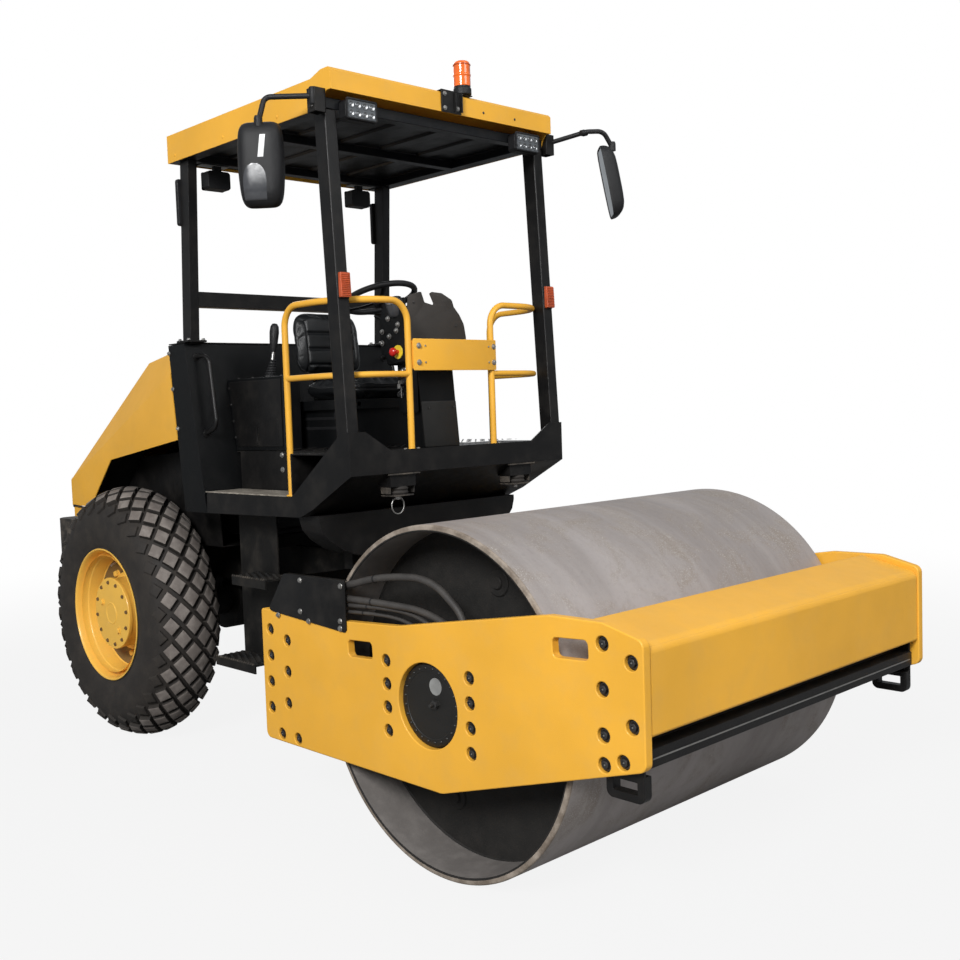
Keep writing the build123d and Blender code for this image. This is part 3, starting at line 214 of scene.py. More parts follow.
def painted(name, paint, soil, soiling, gloss, coat=0.0, peel=1.0):
    made, w, surface = shader(name, Coat_Weight=coat, Coat_Roughness=0.12)
    film = w.add("ShaderNodeGroup", node_tree=PAINT)
    film.inputs["Paint"].default_value = (*paint, 1)
    film.inputs["Soil"].default_value = (*soil, 1)
    film.inputs["Soiling"].default_value = soiling
    film.inputs["Gloss"].default_value = gloss
    film.inputs["Peel"].default_value = peel
    surface.inputs["Specular IOR Level"].default_value = 0.32
    w.join(film.outputs["Colour"], surface.inputs["Base Color"])
    w.join(film.outputs["Roughness"], surface.inputs["Roughness"])
    raise_bump(w, surface, film.outputs["Height"])
    return made


YELLOW = painted("yellow_enamel", (0.87, 0.445, 0.045), (0.45, 0.33, 0.17), 0.10, 0.40, 0.08)
BLACK = painted("black_enamel", (0.0065, 0.0062, 0.0062), (0.07, 0.06, 0.05), 0.12, 0.38, 0.0)
FRAME_BLACK = painted("frame_black", (0.006, 0.0058, 0.0055), (0.06, 0.05, 0.04), 0.30, 0.55, 0.0)
PLASTIC = painted("black_plastic", (0.010, 0.010, 0.011), (0.08, 0.08, 0.08), 0.08, 0.45, 0.0, 2.0)


def drum_material():
    """Rolled steel: streaks round the drum, grey scale, tan soil and bright scuffs."""
    made, w, surface = shader("worn_steel", Metallic=0.35)
    place = w.add("ShaderNodeTexCoord").outputs["Object"]
    broad = w.noise(w.stretch(place, (0.8, 3.2, 0.8)), 1.0, 5.0, 0.6, 0.4)
    rings = w.noise(w.stretch(place, (0.25, 26.0, 0.25)), 1.0, 3.0, 0.6)
    patch = w.noise(place, 5.0, 8.0, 0.68, 0.6)
    fine = w.noise(place, 60.0, 5.0, 0.7)
    speck = w.noise(place, 230.0, 2.0, 0.6)
    colour = w.mix(w.band(broad, 0.3, 0.7), (0.31, 0.275, 0.26, 1), (0.43, 0.39, 0.375, 1))
    colour = w.mix(w.band(patch, 0.44, 0.66, 0.0, 0.60), colour, (0.27, 0.225, 0.185, 1))
    colour = w.mix(w.band(rings, 0.45, 0.75, 0.0, 0.18), colour, (0.50, 0.465, 0.445, 1))
    scuff = w.math("MULTIPLY", w.band(speck, 0.58, 0.66), w.band(patch, 0.42, 0.64, 0.0, 0.8))
    colour = w.mix(scuff, colour, (0.62, 0.59, 0.56, 1))
    colour = w.mix(w.band(fine, 0.5, 0.8, 0.0, 0.25), colour, (0.17, 0.145, 0.125, 1))
    w.join(colour, surface.inputs["Base Color"])
    w.join(w.band(patch, 0.3, 0.8, 0.48, 0.78), surface.inputs["Roughness"])
    relief = w.math("ADD", w.math("MULTIPLY", patch, 0.0012), w.math("MULTIPLY", fine, 0.0004))
    raise_bump(w, surface, relief, 0.8)
    return made


def rubber(name, face, worn, wear, rough=0.8):
    """Tread rubber: brown-black with worn grey patches and dust."""
    made, w, surface = shader(name)
    place = w.add("ShaderNodeTexCoord").outputs["Object"]
    patch = w.noise(place, 14.0, 6.0, 0.65)
    fine = w.noise(place, 190.0, 3.0, 0.6)
    colour = w.mix(w.band(patch, 0.35, 0.75, 0.0, wear), (*face, 1), (*worn, 1))
    colour = w.mix(w.band(fine, 0.5, 0.8, 0.0, 0.3), colour, (*worn, 1))
    w.join(colour, surface.inputs["Base Color"])
    w.join(w.band(patch, 0.2, 0.8, rough - 0.08, rough + 0.1), surface.inputs["Roughness"])
    raise_bump(w, surface, w.math("MULTIPLY", fine, 0.0012), 0.7)
    return made


def plain(name, colour, rough, metal=0.0, grain=300.0, depth=0.0003, coat=0.0, **more):
    """Small-part finish: one colour broken by fine grain."""
    made, w, surface = shader(name, Metallic=metal, Coat_Weight=coat, **more)
    place = w.add("ShaderNodeTexCoord").outputs["Object"]
    fine = w.noise(place, grain, 3.0, 0.6)
    patch = w.noise(place, 18.0, 4.0, 0.6)
    dark = tuple(0.72 * c for c in colour)
    w.join(w.mix(w.band(patch, 0.3, 0.75), (*colour, 1), (*dark, 1)), surface.inputs["Base Color"])
    w.join(w.band(fine, 0.25, 0.8, max(0.03, rough - 0.07), rough + 0.07), surface.inputs["Roughness"])
    raise_bump(w, surface, w.math("MULTIPLY", fine, depth), 0.6)
    return made


STEEL = drum_material()
TYRE = rubber("tyre_sidewall", (0.0155, 0.0125, 0.0105), (0.055, 0.045, 0.035), 0.40)
LUG_FACE = rubber("tyre_lug_face", (0.135, 0.115, 0.102), (0.25, 0.222, 0.20), 0.9)
HOSE = rubber("hose_rubber", (0.035, 0.032, 0.03), (0.09, 0.08, 0.07), 0.3, 0.6)
ZINC = plain("zinc_bolts", (0.45, 0.44, 0.42), 0.38, 0.85)
BOLT_BLACK = plain("black_bolts", (0.075, 0.072, 0.07), 0.34, 0.7)
IRON = plain("engine_iron", (0.05, 0.05, 0.052), 0.6, 0.3)
COVER_BLACK = plain("cover_black", (0.0095, 0.0088, 0.0075), 0.5, 0.0, 900.0, 0.0006)
LABEL_GREY = plain("blank_label", (0.28, 0.28, 0.27), 0.5)
WORN_BOLT = plain("worn_bolts", (0.24, 0.15, 0.07), 0.5, 0.5)
RIM_EDGE = rubber("drum_rim_edge", (0.15, 0.118, 0.09), (0.42, 0.36, 0.30), 0.75, 0.75)
DRUM_INSIDE = rubber("drum_inside", (0.0060, 0.0054, 0.0046), (0.035, 0.029, 0.024), 0.25, 0.75)
DRUM_BORE = rubber("drum_bore", (0.150, 0.137, 0.128), (0.24, 0.22, 0.205), 0.6, 0.75)
# Dark brown: on the rim's back web it is painted shade between hub and rim, mixed with dirt; the cleats take
# it as their own colour.
WEB_SHADE_AND_CLEAT_BROWN = painted("rim_web_shade_and_cleat_paint", (0.22, 0.13, 0.04), (0.1, 0.07, 0.04), 0.4, 0.5)
YELLOW_WHEEL = painted("wheel_enamel", (0.95, 0.545, 0.085), (0.45, 0.30, 0.14), 0.10, 0.32, 0.2)
CHROME = plain("ram_chrome", (0.72, 0.72, 0.73), 0.12, 1.0, depth=0.0)
AMBER = plain("amber_lens", (0.52, 0.085, 0.022), 0.28, 0.0, 60.0, 0.0012, 0.4)
AMBER_LIGHT = plain("beacon_dome", (0.95, 0.17, 0.02), 0.10, 0.0, 40.0, 0.0003, 0.8)
RED = plain("red_plastic", (0.55, 0.012, 0.010), 0.30, coat=0.3)
STOP_YELLOW = plain("stop_disc", (0.85, 0.62, 0.03), 0.45)
LABEL_WHITE = plain("blank_white_label", (0.72, 0.72, 0.72), 0.45)
LAMP_FACE = plain("lamp_lens", (0.10, 0.11, 0.12), 0.12, 0.0, 200.0, 0.0004, 0.7)
REFLECTOR = plain("lamp_reflector", (0.38, 0.39, 0.40), 0.22, 0.9, depth=0.0)
GLASS = plain("mirror_glass", (0.70, 0.73, 0.75), 0.04, 1.0, depth=0.0)
# Grey gloss: the gauge pods' own finish, and on the right mirror's shell a painted reflection.
GREY_GLOSS_AND_SHEEN = plain("grey_gloss", (0.055, 0.057, 0.062), 0.22, 0.0, 30.0, 0.0006, 0.35)
VINYL = plain("seat_vinyl", (0.0062, 0.0070, 0.0078), 0.40, 0.0, 900.0, 0.0010)
THREAD = plain("seat_piping", (0.020, 0.021, 0.022), 0.35, 0.0, 900.0, 0.0006)
# Black enamel again, darker and with its reflection cut, for the bulkhead, seat base, cabinets and console
# sides: painted shade.
BLACK_PAINTED_SHADE = painted("black_enamel_painted_shade", (0.0032, 0.0036, 0.0040), (0.05, 0.045, 0.04), 0.05, 0.42)
for dull, level in ((BLACK_PAINTED_SHADE, 0.22), (VINYL, 0.35)):
    dull.node_tree.nodes["Principled BSDF"].inputs["Specular IOR Level"].default_value = level
LINER = painted("roof_liner", (0.0035, 0.0042, 0.0055), (0.05, 0.04, 0.035), 0.10, 0.34)
CONSOLE_GREY = painted("console_grey", (0.040, 0.035, 0.031), (0.10, 0.09, 0.08), 0.10, 0.50)
WORN_FLOOR = rubber("worn_floor", (0.16, 0.14, 0.115), (0.42, 0.38, 0.32), 0.9, 0.6)
DUSTY = rubber("dusty_black", (0.012, 0.011, 0.010), (0.20, 0.165, 0.13), 0.55, 0.7)

# ---------------------------------------------------------------- shapes
# A shape is a pair: an array of points and a list of faces. It is drawn about its own Z axis and then placed.
def grid_faces(rows, columns, wrap_rows=False, wrap_columns=False):
    """Quads between neighbours in a grid of points laid out row by row."""
    i, j = np.meshgrid(np.arange(rows if wrap_rows else rows - 1),
                       np.arange(columns if wrap_columns else columns - 1), indexing="ij")
    up, on = (i + 1) % rows, (j + 1) % columns
    corners = [i * columns + j, i * columns + on, up * columns + on, up * columns + j]
    return np.stack(corners, -1).reshape(-1, 4).tolist()


def merged(*shapes):
    """Several shapes as one."""
    points, faces, count = [], [], 0
    for spots, polygons in shapes:
        points.append(spots)
        faces.extend([[k + count for k in polygon] for polygon in polygons])
        count += len(spots)
    return np.vstack(points), faces


def facing(place, out=(0, 0, 1), up=(0, 0, 1), turn=0.0):
    """4 by 4 matrix: a shape's Z axis goes along out, its Y axis towards up; turn is in degrees about out."""
    z = np.array(out, float)
    z /= np.linalg.norm(z)
    up = np.array(up, float)
    if abs(up @ z) > 0.99 * np.linalg.norm(up):
        up = np.array((1.0, 0.0, 0.0))
    x = np.cross(up, z)
    x /= np.linalg.norm(x)
    y = np.cross(z, x)
    c, s = math.cos(math.radians(turn)), math.sin(math.radians(turn))
    matrix = np.eye(4)
    matrix[:3, :3] = np.stack([c * x + s * y, c * y - s * x, z], 1)
    matrix[:3, 3] = place
    return matrix


def placed(shape, matrix):
    """The shape moved by a matrix."""
    points, faces = shape
    return points @ matrix[:3, :3].T + matrix[:3, 3], faces


def copies(shape, matrices):
    """The shape at every matrix, all points in one array."""
    points, faces = shape
    stack = np.stack(list(matrices))
    spots = np.einsum("nij,pj->npi", stack[:, :3, :3], points) + stack[:, None, :3, 3]
    polygons = [[k + n * len(points) for k in one] for n in range(len(stack)) for one in faces]
    return spots.reshape(-1, 3), polygons


def turned(profile, steps=48, start=0.0, sweep=360.0):
    """Profile of (radius, height) turned about Z: each point is (r cos t, r sin t, h)."""
    profile = np.array(profile, float)
    whole = sweep >= 360.0
    t = np.radians(start + np.linspace(0, sweep, steps + (0 if whole else 1), endpoint=not whole))
    r, h = profile[:, 0][:, None], profile[:, 1][:, None]
    points = np.stack([r * np.cos(t), r * np.sin(t), h + 0 * t], -1).reshape(-1, 3)
    return points, [face[::-1] for face in grid_faces(len(profile), len(t), wrap_columns=whole)]


def lathed(profile, steps, *place):
    """Turned profile standing at a place, and along a direction where one is given."""
    return placed(turned(profile, steps), facing(*place))


def bent(points, radius, steps=8):
    """Straight runs joined by arcs of this radius that touch both runs."""
    points = [np.array(p, float) for p in points]
    radii = radius if isinstance(radius, (list, tuple)) else [radius] * (len(points) - 2)
    path = [points[0]]
    for before, corner, after, r in zip(points, points[1:], points[2:], radii):
        a, b = before - corner, after - corner
        a, b = a / np.linalg.norm(a), b / np.linalg.norm(b)
        half = math.acos(max(-1.0, min(1.0, a @ b))) / 2
        if r <= 0 or half > 1.55:
            path.append(corner)
            continue
        middle = (a + b) / np.linalg.norm(a + b)
        centre = corner + middle * r / math.sin(half)
        first = corner + a * r / math.tan(half) - centre
        last = corner + b * r / math.tan(half) - centre
        angle = math.acos(max(-1.0, min(1.0, first @ last / r ** 2)))
        for k in range(steps + 1):
            f = k / steps
            path.append(centre + (math.sin((1 - f) * angle) * first
                                  + math.sin(f * angle) * last) / math.sin(angle))
    path.append(points[-1])
    return np.array(path)


def smooth_path(points, steps=12):
    """Curve through the points: each stretch is the cubic that meets its neighbours' slopes."""
    p = np.array(points, float)
    p = np.vstack([2 * p[0] - p[1], p, 2 * p[-1] - p[-2]])
    t = np.linspace(0, 1, steps, endpoint=False)[:, None]
    runs = [0.5 * (2 * b + (c - a) * t + (2 * a - 5 * b + 4 * c - d) * t ** 2
                   + (3 * b - a - 3 * c + d) * t ** 3)
            for a, b, c, d in zip(p, p[1:], p[2:], p[3:])]
    return np.vstack(runs + [p[-2:-1]])


def carried(section, path, loop=False, caps=True, size=None, up=None):
    """Section of (across, up) points carried along a path, its frame turned only as far as the path bends."""
    section, path = np.array(section, float), np.array(path, float)
    ahead = np.roll(path, -1, 0) - path if loop else np.gradient(path, axis=0)
    if loop:
        ahead = ahead / np.linalg.norm(ahead, axis=1)[:, None]
        ahead = ahead + np.roll(ahead, 1, 0)
    ahead = ahead / np.linalg.norm(ahead, axis=1)[:, None]
    if up is None:
        up = np.eye(3)[np.argmin(abs(ahead[0]))]
    sides = []
    guide = np.array(up, float)
    for d in ahead:
        guide = guide - (guide @ d) * d
        guide = guide / np.linalg.norm(guide)
        sides.append((np.cross(d, guide), guide))
    side = np.array([s for s, _ in sides])
    top = np.array([u for _, u in sides])
    scale = np.ones(len(path)) if size is None else np.array(size, float)
    points = (path[:, None, :] + scale[:, None, None] * (section[:, 0][None, :, None] * side[:, None, :]
              + section[:, 1][None, :, None] * top[:, None, :]))
    faces = grid_faces(len(path), len(section), wrap_rows=loop, wrap_columns=True)
    if caps and not loop:
        last = (len(path) - 1) * len(section)
        faces += [list(range(len(section)))[::-1], [last + k for k in range(len(section))]]
    return points.reshape(-1, 3), faces


def circle(radius, sides=16):
    t = np.linspace(0, TAU, sides, endpoint=False)
    return np.stack([radius * np.cos(t), radius * np.sin(t)], -1)


def tube(path, radius, sides=16, **more):
    return carried(circle(radius, sides), path, **more)


def rounded(outline, radii, steps=5):
    """Closed flat outline with each corner turned into an arc."""
    outline = [np.array((*p, 0.0)) for p in outline]
    radii = list(radii) if isinstance(radii, (list, tuple)) else [radii] * len(outline)
    loop = [outline[-1]] + outline + [outline[0]]
    path = []
    for k, r in enumerate(radii):
        path += list(bent(loop[k:k + 3], r, steps)[1:-1])
    return np.array(path)[:, :2]


def rounded_box(x0, x1, y0, y1, radius, steps=5):
    """Rectangle with round corners, anticlockwise from its low left one."""
    return rounded([(x0, y0), (x1, y0), (x1, y1), (x0, y1)], radius, steps)


def inset_loop(loop, amount):
    """A closed loop moved to its left by this much, corners mitred."""
    ahead = np.roll(loop, -1, 0) - loop
    ahead /= np.linalg.norm(ahead, axis=1)[:, None]
    left = np.stack([-ahead[:, 1], ahead[:, 0]], -1)
    before = np.roll(left, 1, 0)
    share = 1 + (left * before).sum(1)
    return loop + amount * (left + before) / np.maximum(share, 0.3)[:, None]


def anticlockwise(loop):
    x, y = loop[:, 0], loop[:, 1]
    area = (x * np.roll(y, -1) - y * np.roll(x, -1)).sum()
    return loop if area > 0 else loop[::-1]


def pressed(outline, holes=(), thick=0.006, edge=0.002, steps=3, base=0.0):
    """Plate between z = base and z = base + thick, every edge a quarter round.

    The edge profile (quarter round, wall, quarter round) is carried round each loop, and triangles fill
    the flats.
    """
    a = np.linspace(0, math.pi / 2, steps + 1)
    inset = edge * (1 - np.sin(a))
    drop = edge * (1 - np.cos(a))
    profile = [(i, base + thick - z) for i, z in zip(inset, drop)]
    profile += [(i, base + z) for i, z in zip(inset[::-1], drop[::-1])]
    shapes, tops, lows, count = [], [], [], 0
    for loop in [outline] + list(holes):
        loop = anticlockwise(np.array(loop, float))
        if len(shapes):
            loop = loop[::-1]
        rings = [np.column_stack([inset_loop(loop, i), np.full(len(loop), z)]) for i, z in profile]
        shapes.append((np.vstack(rings), grid_faces(len(profile), len(loop), wrap_columns=True)))
        tops.append((rings[0], count))
        lows.append((rings[-1], count + (len(profile) - 1) * len(loop)))
        count += len(rings) * len(loop)
    points, faces = merged(*shapes)
    for rings, flip in ((tops, False), (lows, True)):
        index = np.concatenate([np.arange(len(ring)) + first for ring, first in rings])
        for triangle in tessellate_polygon([[Vector(p) for p in ring] for ring, _ in rings]):
            corners = [int(index[k]) for k in triangle]
            faces.append(corners[::-1] if flip else corners)
    return points, faces


def ring_loop(x, y, radius, sides=32):
    return circle(radius, sides) + (x, y)


def brick(size, centre=(0, 0, 0)):
    """Plain box."""
    signs = np.array([(x, y, z) for z in (-1, 1) for y in (-1, 1) for x in (-1, 1)], float)
    faces = [[0, 2, 3, 1], [4, 5, 7, 6], [0, 1, 5, 4], [2, 6, 7, 3], [0, 4, 6, 2], [1, 3, 7, 5]]
    return signs * np.array(size) / 2 + np.array(centre), faces


def hex_bolt(radius=0.012, height=0.009, washer=0.0):
    """Hexagon head with a chamfered crown on a washer."""
    head = turned([(0, height), (0.62 * radius, height), (0.86 * radius, height), (radius, 0.86 * height),
                   (radius, 0)], 6)
    if not washer:
        return head
    disc = turned([(0, 0.0026), (washer - 0.001, 0.0026), (washer, 0.0018), (washer, -0.001)], 24)
    return merged((head[0] + (0, 0, 0.0024), head[1]), disc)


def button_head(radius=0.008, height=0.004):
    """Low domed head: height falls as the square of the distance from the middle."""
    r = np.linspace(0, radius, 5)
    dome = [(a, height * (1 - (a / radius) ** 2) + 0.0006) for a in r]
    return turned(dome + [(radius, -0.001)], 16)


def put_piece(name, shape, body, material, smooth=35.0, marks=None, ease=0.0, weigh=False):
    """Mesh from whole arrays of points and faces, riding on a body."""
    points, faces = shape
    mesh = bpy.data.meshes.new(name)
    mesh.from_pydata(np.asarray(points, float).tolist(), [], faces)
    for one in material if isinstance(material, (list, tuple)) else [material]:
        mesh.materials.append(one)
    if marks is not None:
        mesh.polygons.foreach_set("material_index", np.asarray(marks, np.int32))
    outward(mesh)
    piece = bpy.data.objects.new(name, mesh)
    bpy.context.scene.collection.objects.link(piece)
    finish_mesh(mesh, smooth)
    if ease:
        add_ease(piece, ease)
    if weigh:
        weights = piece.modifiers.new("flat_faces_first", "WEIGHTED_NORMAL")
        weights.keep_sharp = True
    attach(piece, body)
    return piece


def add_ease(piece, width, segments=2):
    """Bevel modifier on the piece's sharp edges."""
    ease = piece.modifiers.new("eased_edges", "BEVEL")
    ease.width = width
    ease.segments = segments
    ease.limit_method = "ANGLE"
    ease.angle_limit = math.radians(28)
    ease.harden_normals = True


def finish_mesh(mesh, smooth):
    mesh.shade_smooth()
    mesh.set_sharp_from_angle(angle=math.radians(smooth))


def outward(mesh, merge=1e-5):
    """Merge doubles, drop faces left without area and point every face out."""
    work = bmesh.new()
    work.from_mesh(mesh)
    bmesh.ops.remove_doubles(work, verts=work.verts, dist=merge)
    bmesh.ops.dissolve_degenerate(work, edges=work.edges, dist=1e-6)
    bmesh.ops.recalc_face_normals(work, faces=work.faces)
    work.to_mesh(mesh)
    work.free()


def eased(node, width, material, smooth=35.0, segments=2):
    """The node's own shape with its sharp edges rounded by this width, in place of the node."""
    source = frame["nodes"][node]
    body = source["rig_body"]
    mesh = source.data.copy()
    mesh.name = f"{node}_skin"
    mesh.materials.clear()
    work = bmesh.new()
    work.from_mesh(mesh)
    bmesh.ops.remove_doubles(work, verts=work.verts, dist=2e-5)
    bmesh.ops.dissolve_limit(work, angle_limit=math.radians(0.6), verts=work.verts, edges=work.edges)
    work.to_mesh(mesh)
    work.free()
    if mesh.has_custom_normals:
        mesh.attributes.remove(mesh.attributes["custom_normal"])
    finish_mesh(mesh, smooth)
    mesh.materials.append(material)
    piece = bpy.data.objects.new(f"{node}_skin", mesh)
    bpy.context.scene.collection.objects.link(piece)
    if width:
        add_ease(piece, width, segments)
    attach(piece, body)
    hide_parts(node)
    return piece


def stage_and_light():
    floor_mesh = bpy.data.meshes.new("floor")
    floor_mesh.from_pydata([(-60, -60, 0), (60, -60, 0), (60, 60, 0), (-60, 60, 0)], [], [(0, 1, 2, 3)])
    floor = bpy.data.objects.new("floor", floor_mesh)
    bpy.context.scene.collection.objects.link(floor)
    made, w, surface = shader("pale_floor", Roughness=1.0)
    surface.inputs["Base Color"].default_value = (0.25, 0.25, 0.25, 1)
    surface.inputs["Specular IOR Level"].default_value = 0.0
    place = w.add("ShaderNodeTexCoord").outputs["Object"]
    away = w.add("ShaderNodeVectorMath", operation="LENGTH")
    w.join(place, away.inputs[0])
    far = w.band(away.outputs["Value"], 2.6, 9.0, FLOOR_GLOW, 1.0)
    light = w.add("ShaderNodeLightPath")
    share = w.math("MULTIPLY", light.outputs["Is Camera Ray"], far)
    glow = w.add("ShaderNodeEmission")
    glow.inputs["Color"].default_value = (1, 1, 1, 1)
    blend = w.add("ShaderNodeMixShader")
    w.join(share, blend.inputs[0])
    w.join(surface.outputs[0], blend.inputs[1])
    w.join(glow.outputs[0], blend.inputs[2])
    w.join(blend.outputs[0], made.node_tree.nodes["Material Output"].inputs["Surface"])
    floor_mesh.materials.append(made)

    world = bpy.data.worlds.new("studio")
    bpy.context.scene.world = world
    world.use_nodes = True
    ww = Wires(world.node_tree)
    back = world.node_tree.nodes["Background"]
    back.inputs["Color"].default_value = (0.92, 0.96, 1.0, 1)
    back.inputs["Strength"].default_value = SKY
    white = ww.add("ShaderNodeBackground")
    white.inputs["Color"].default_value = (1, 1, 1, 1)
    white.inputs["Strength"].default_value = 1.0
    path = ww.add("ShaderNodeLightPath")
    seen = ww.math("MAXIMUM", path.outputs["Is Camera Ray"], path.outputs["Is Transmission Ray"])
    pick = ww.add("ShaderNodeMixShader")
    ww.join(seen, pick.inputs[0])
    ww.join(back.outputs[0], pick.inputs[1])
    ww.join(white.outputs[0], pick.inputs[2])
    ww.join(pick.outputs[0], world.node_tree.nodes["World Output"].inputs["Surface"])

    for label, place, aim, size, power in LAMPS:
        lamp = bpy.data.lights.new(label, "AREA")
        lamp.shape = "DISK"
        lamp.size = size
        lamp.energy = power
        holder = bpy.data.objects.new(label, lamp)
        holder.location = place
        holder.rotation_euler = (Vector(aim) - Vector(place)).to_track_quat("-Z", "Y").to_euler()
        bpy.context.scene.collection.objects.link(holder)


SKY, FLOOR_GLOW = 0.34, 0.88
LAMPS = [                  # name, place, aim, size, power
    ("key", (5.5, -9.0, 6.5), (0.2, 0, 0.8), 3.6, 1250.0),
    ("fill", (7.6, 1.0, 6.6), (0, 0, 1.0), 5.0, 270.0),
    ("rim", (-8.0, 5.0, 7.0), (0, 0, 1.2), 5.0, 160.0),
]


def camera():
    """Camera at the front right corner, just above the bearing of the drum."""
    yaw, pitch, roll = (math.radians(v) for v in (42.51, 3.67, -2.07))
    ahead = Vector((-math.cos(yaw) * math.cos(pitch), math.sin(yaw) * math.cos(pitch), -math.sin(pitch)))
    side = ahead.cross(Vector((0, 0, 1))).normalized()
    up = side.cross(ahead)
    right = side * math.cos(roll) + up * math.sin(roll)
    top = up * math.cos(roll) - side * math.sin(roll)
    made = bpy.data.cameras.new("view")
    made.sensor_width = 36.0
    made.lens = 42.30
    made.shift_x = 0.0486
    made.shift_y = 0.0021
    holder = bpy.data.objects.new("view", made)
    turn = Matrix((right, top, -ahead)).transposed().to_4x4()
    turn.translation = Vector((4.186, -3.458, 1.651))
    holder.matrix_world = turn
    bpy.context.scene.collection.objects.link(holder)
    bpy.context.scene.camera = holder
    bpy.context.scene.view_settings.view_transform = "Standard"


camera()
stage_and_light()

EASED = [                  # node, edge radius in metres, finish
    ("front_beam", 0.045, YELLOW), ("scraper_bar", 0.002, BLACK), ("rear_crossbeam", 0.004, FRAME_BLACK),
    ("hitch", 0.003, FRAME_BLACK), ("chassis", 0.004, FRAME_BLACK), ("rear_axle", 0.005, FRAME_BLACK),
    ("engine_block", 0.01, IRON), ("engine_bay", 0.001, BLACK), ("engine_hood", 0.002, YELLOW),
    ("rear_bumper", 0.01, DUSTY), ("platform_frame", 0.004, BLACK), ("platform_floor", 0.001, BLACK),
    # bulkhead, seat base and cabinets take the darker black of painted shade
    ("bulkhead", 0.008, BLACK_PAINTED_SHADE), ("seat_base", 0.006, BLACK_PAINTED_SHADE), ("front_posts", 0.006, BLACK),
    ("rear_posts", 0.006, BLACK), ("roof_frame", 0.003, LINER), ("canopy", 0.004, YELLOW),
    ("work_lamps", 0.003, PLASTIC), ("marker_lamps", 0.003, AMBER), ("lashing_eyes", 0.003, BLACK),
    ("cabinets", 0.006, BLACK_PAINTED_SHADE), ("steps", 0.002, FRAME_BLACK),
    ("drum_carrier_right", 0.004, FRAME_BLACK), ("drum_carrier_left", 0.004, FRAME_BLACK),
    ("steering_barrel_right", 0.002, BLACK), ("steering_barrel_left", 0.002, BLACK),
    ("steering_rod_right", 0.001, CHROME), ("steering_rod_left", 0.001, CHROME),
]
skins = {node: eased(node, width, material, segments=6 if width > 0.03 else 2)
         for node, width, material in EASED}


def deepened(node, back, front, aside):
    """Move the faces of upright tubes out from their leaning middle line."""
    mesh = skins[node].data
    spots = np.zeros(len(mesh.vertices) * 3)
    mesh.vertices.foreach_get("co", spots)
    spots = spots.reshape(-1, 3)
    z, x = spots[:, 2], spots[:, 0].copy()
    ends = [(e, x[abs(z - e) < 0.03]) for e in (z.min(), z.max())]
    middle_x = np.interp(z, [e for e, _ in ends], [(found.min() + found.max()) / 2 for _, found in ends])
    spots[:, 0] += np.where(x < middle_x, -back, front)
    middle_y = (np.sign(spots[:, 1])
                * (abs(spots[:, 1]).max() + abs(spots[:, 1][abs(z - z.min()) < 0.03]).min()) / 2)
    upright = abs(abs(spots[:, 1]) - abs(middle_y)) < 0.04
    spots[:, 1] += np.where(upright, np.sign(spots[:, 1] - middle_y) * aside, 0)
    mesh.vertices.foreach_set("co", spots.ravel())
    mesh.update()


deepened("front_posts", 0.026, 0.0, 0.006)
deepened("rear_posts", 0.012, 0.013, 0.0)

# ---------------------------------------------------------------- drum
DRUM_X, AXLE_X, TYRE_Y = 1.315, -1.257, 0.641
DRUM_R, DRUM_HALF, DRUM_IN_R, DISC_Y = 0.627, 0.850, 0.602, 0.650


def along_y(x, z, y=0.0, side=LEFT, turn=0.0):
    """Place a shape's Z axis along Y, towards one side."""
    return facing((x, y, z), (0, side, 0), (0, 0, 1), turn)


RIM_WORN = 0.0180


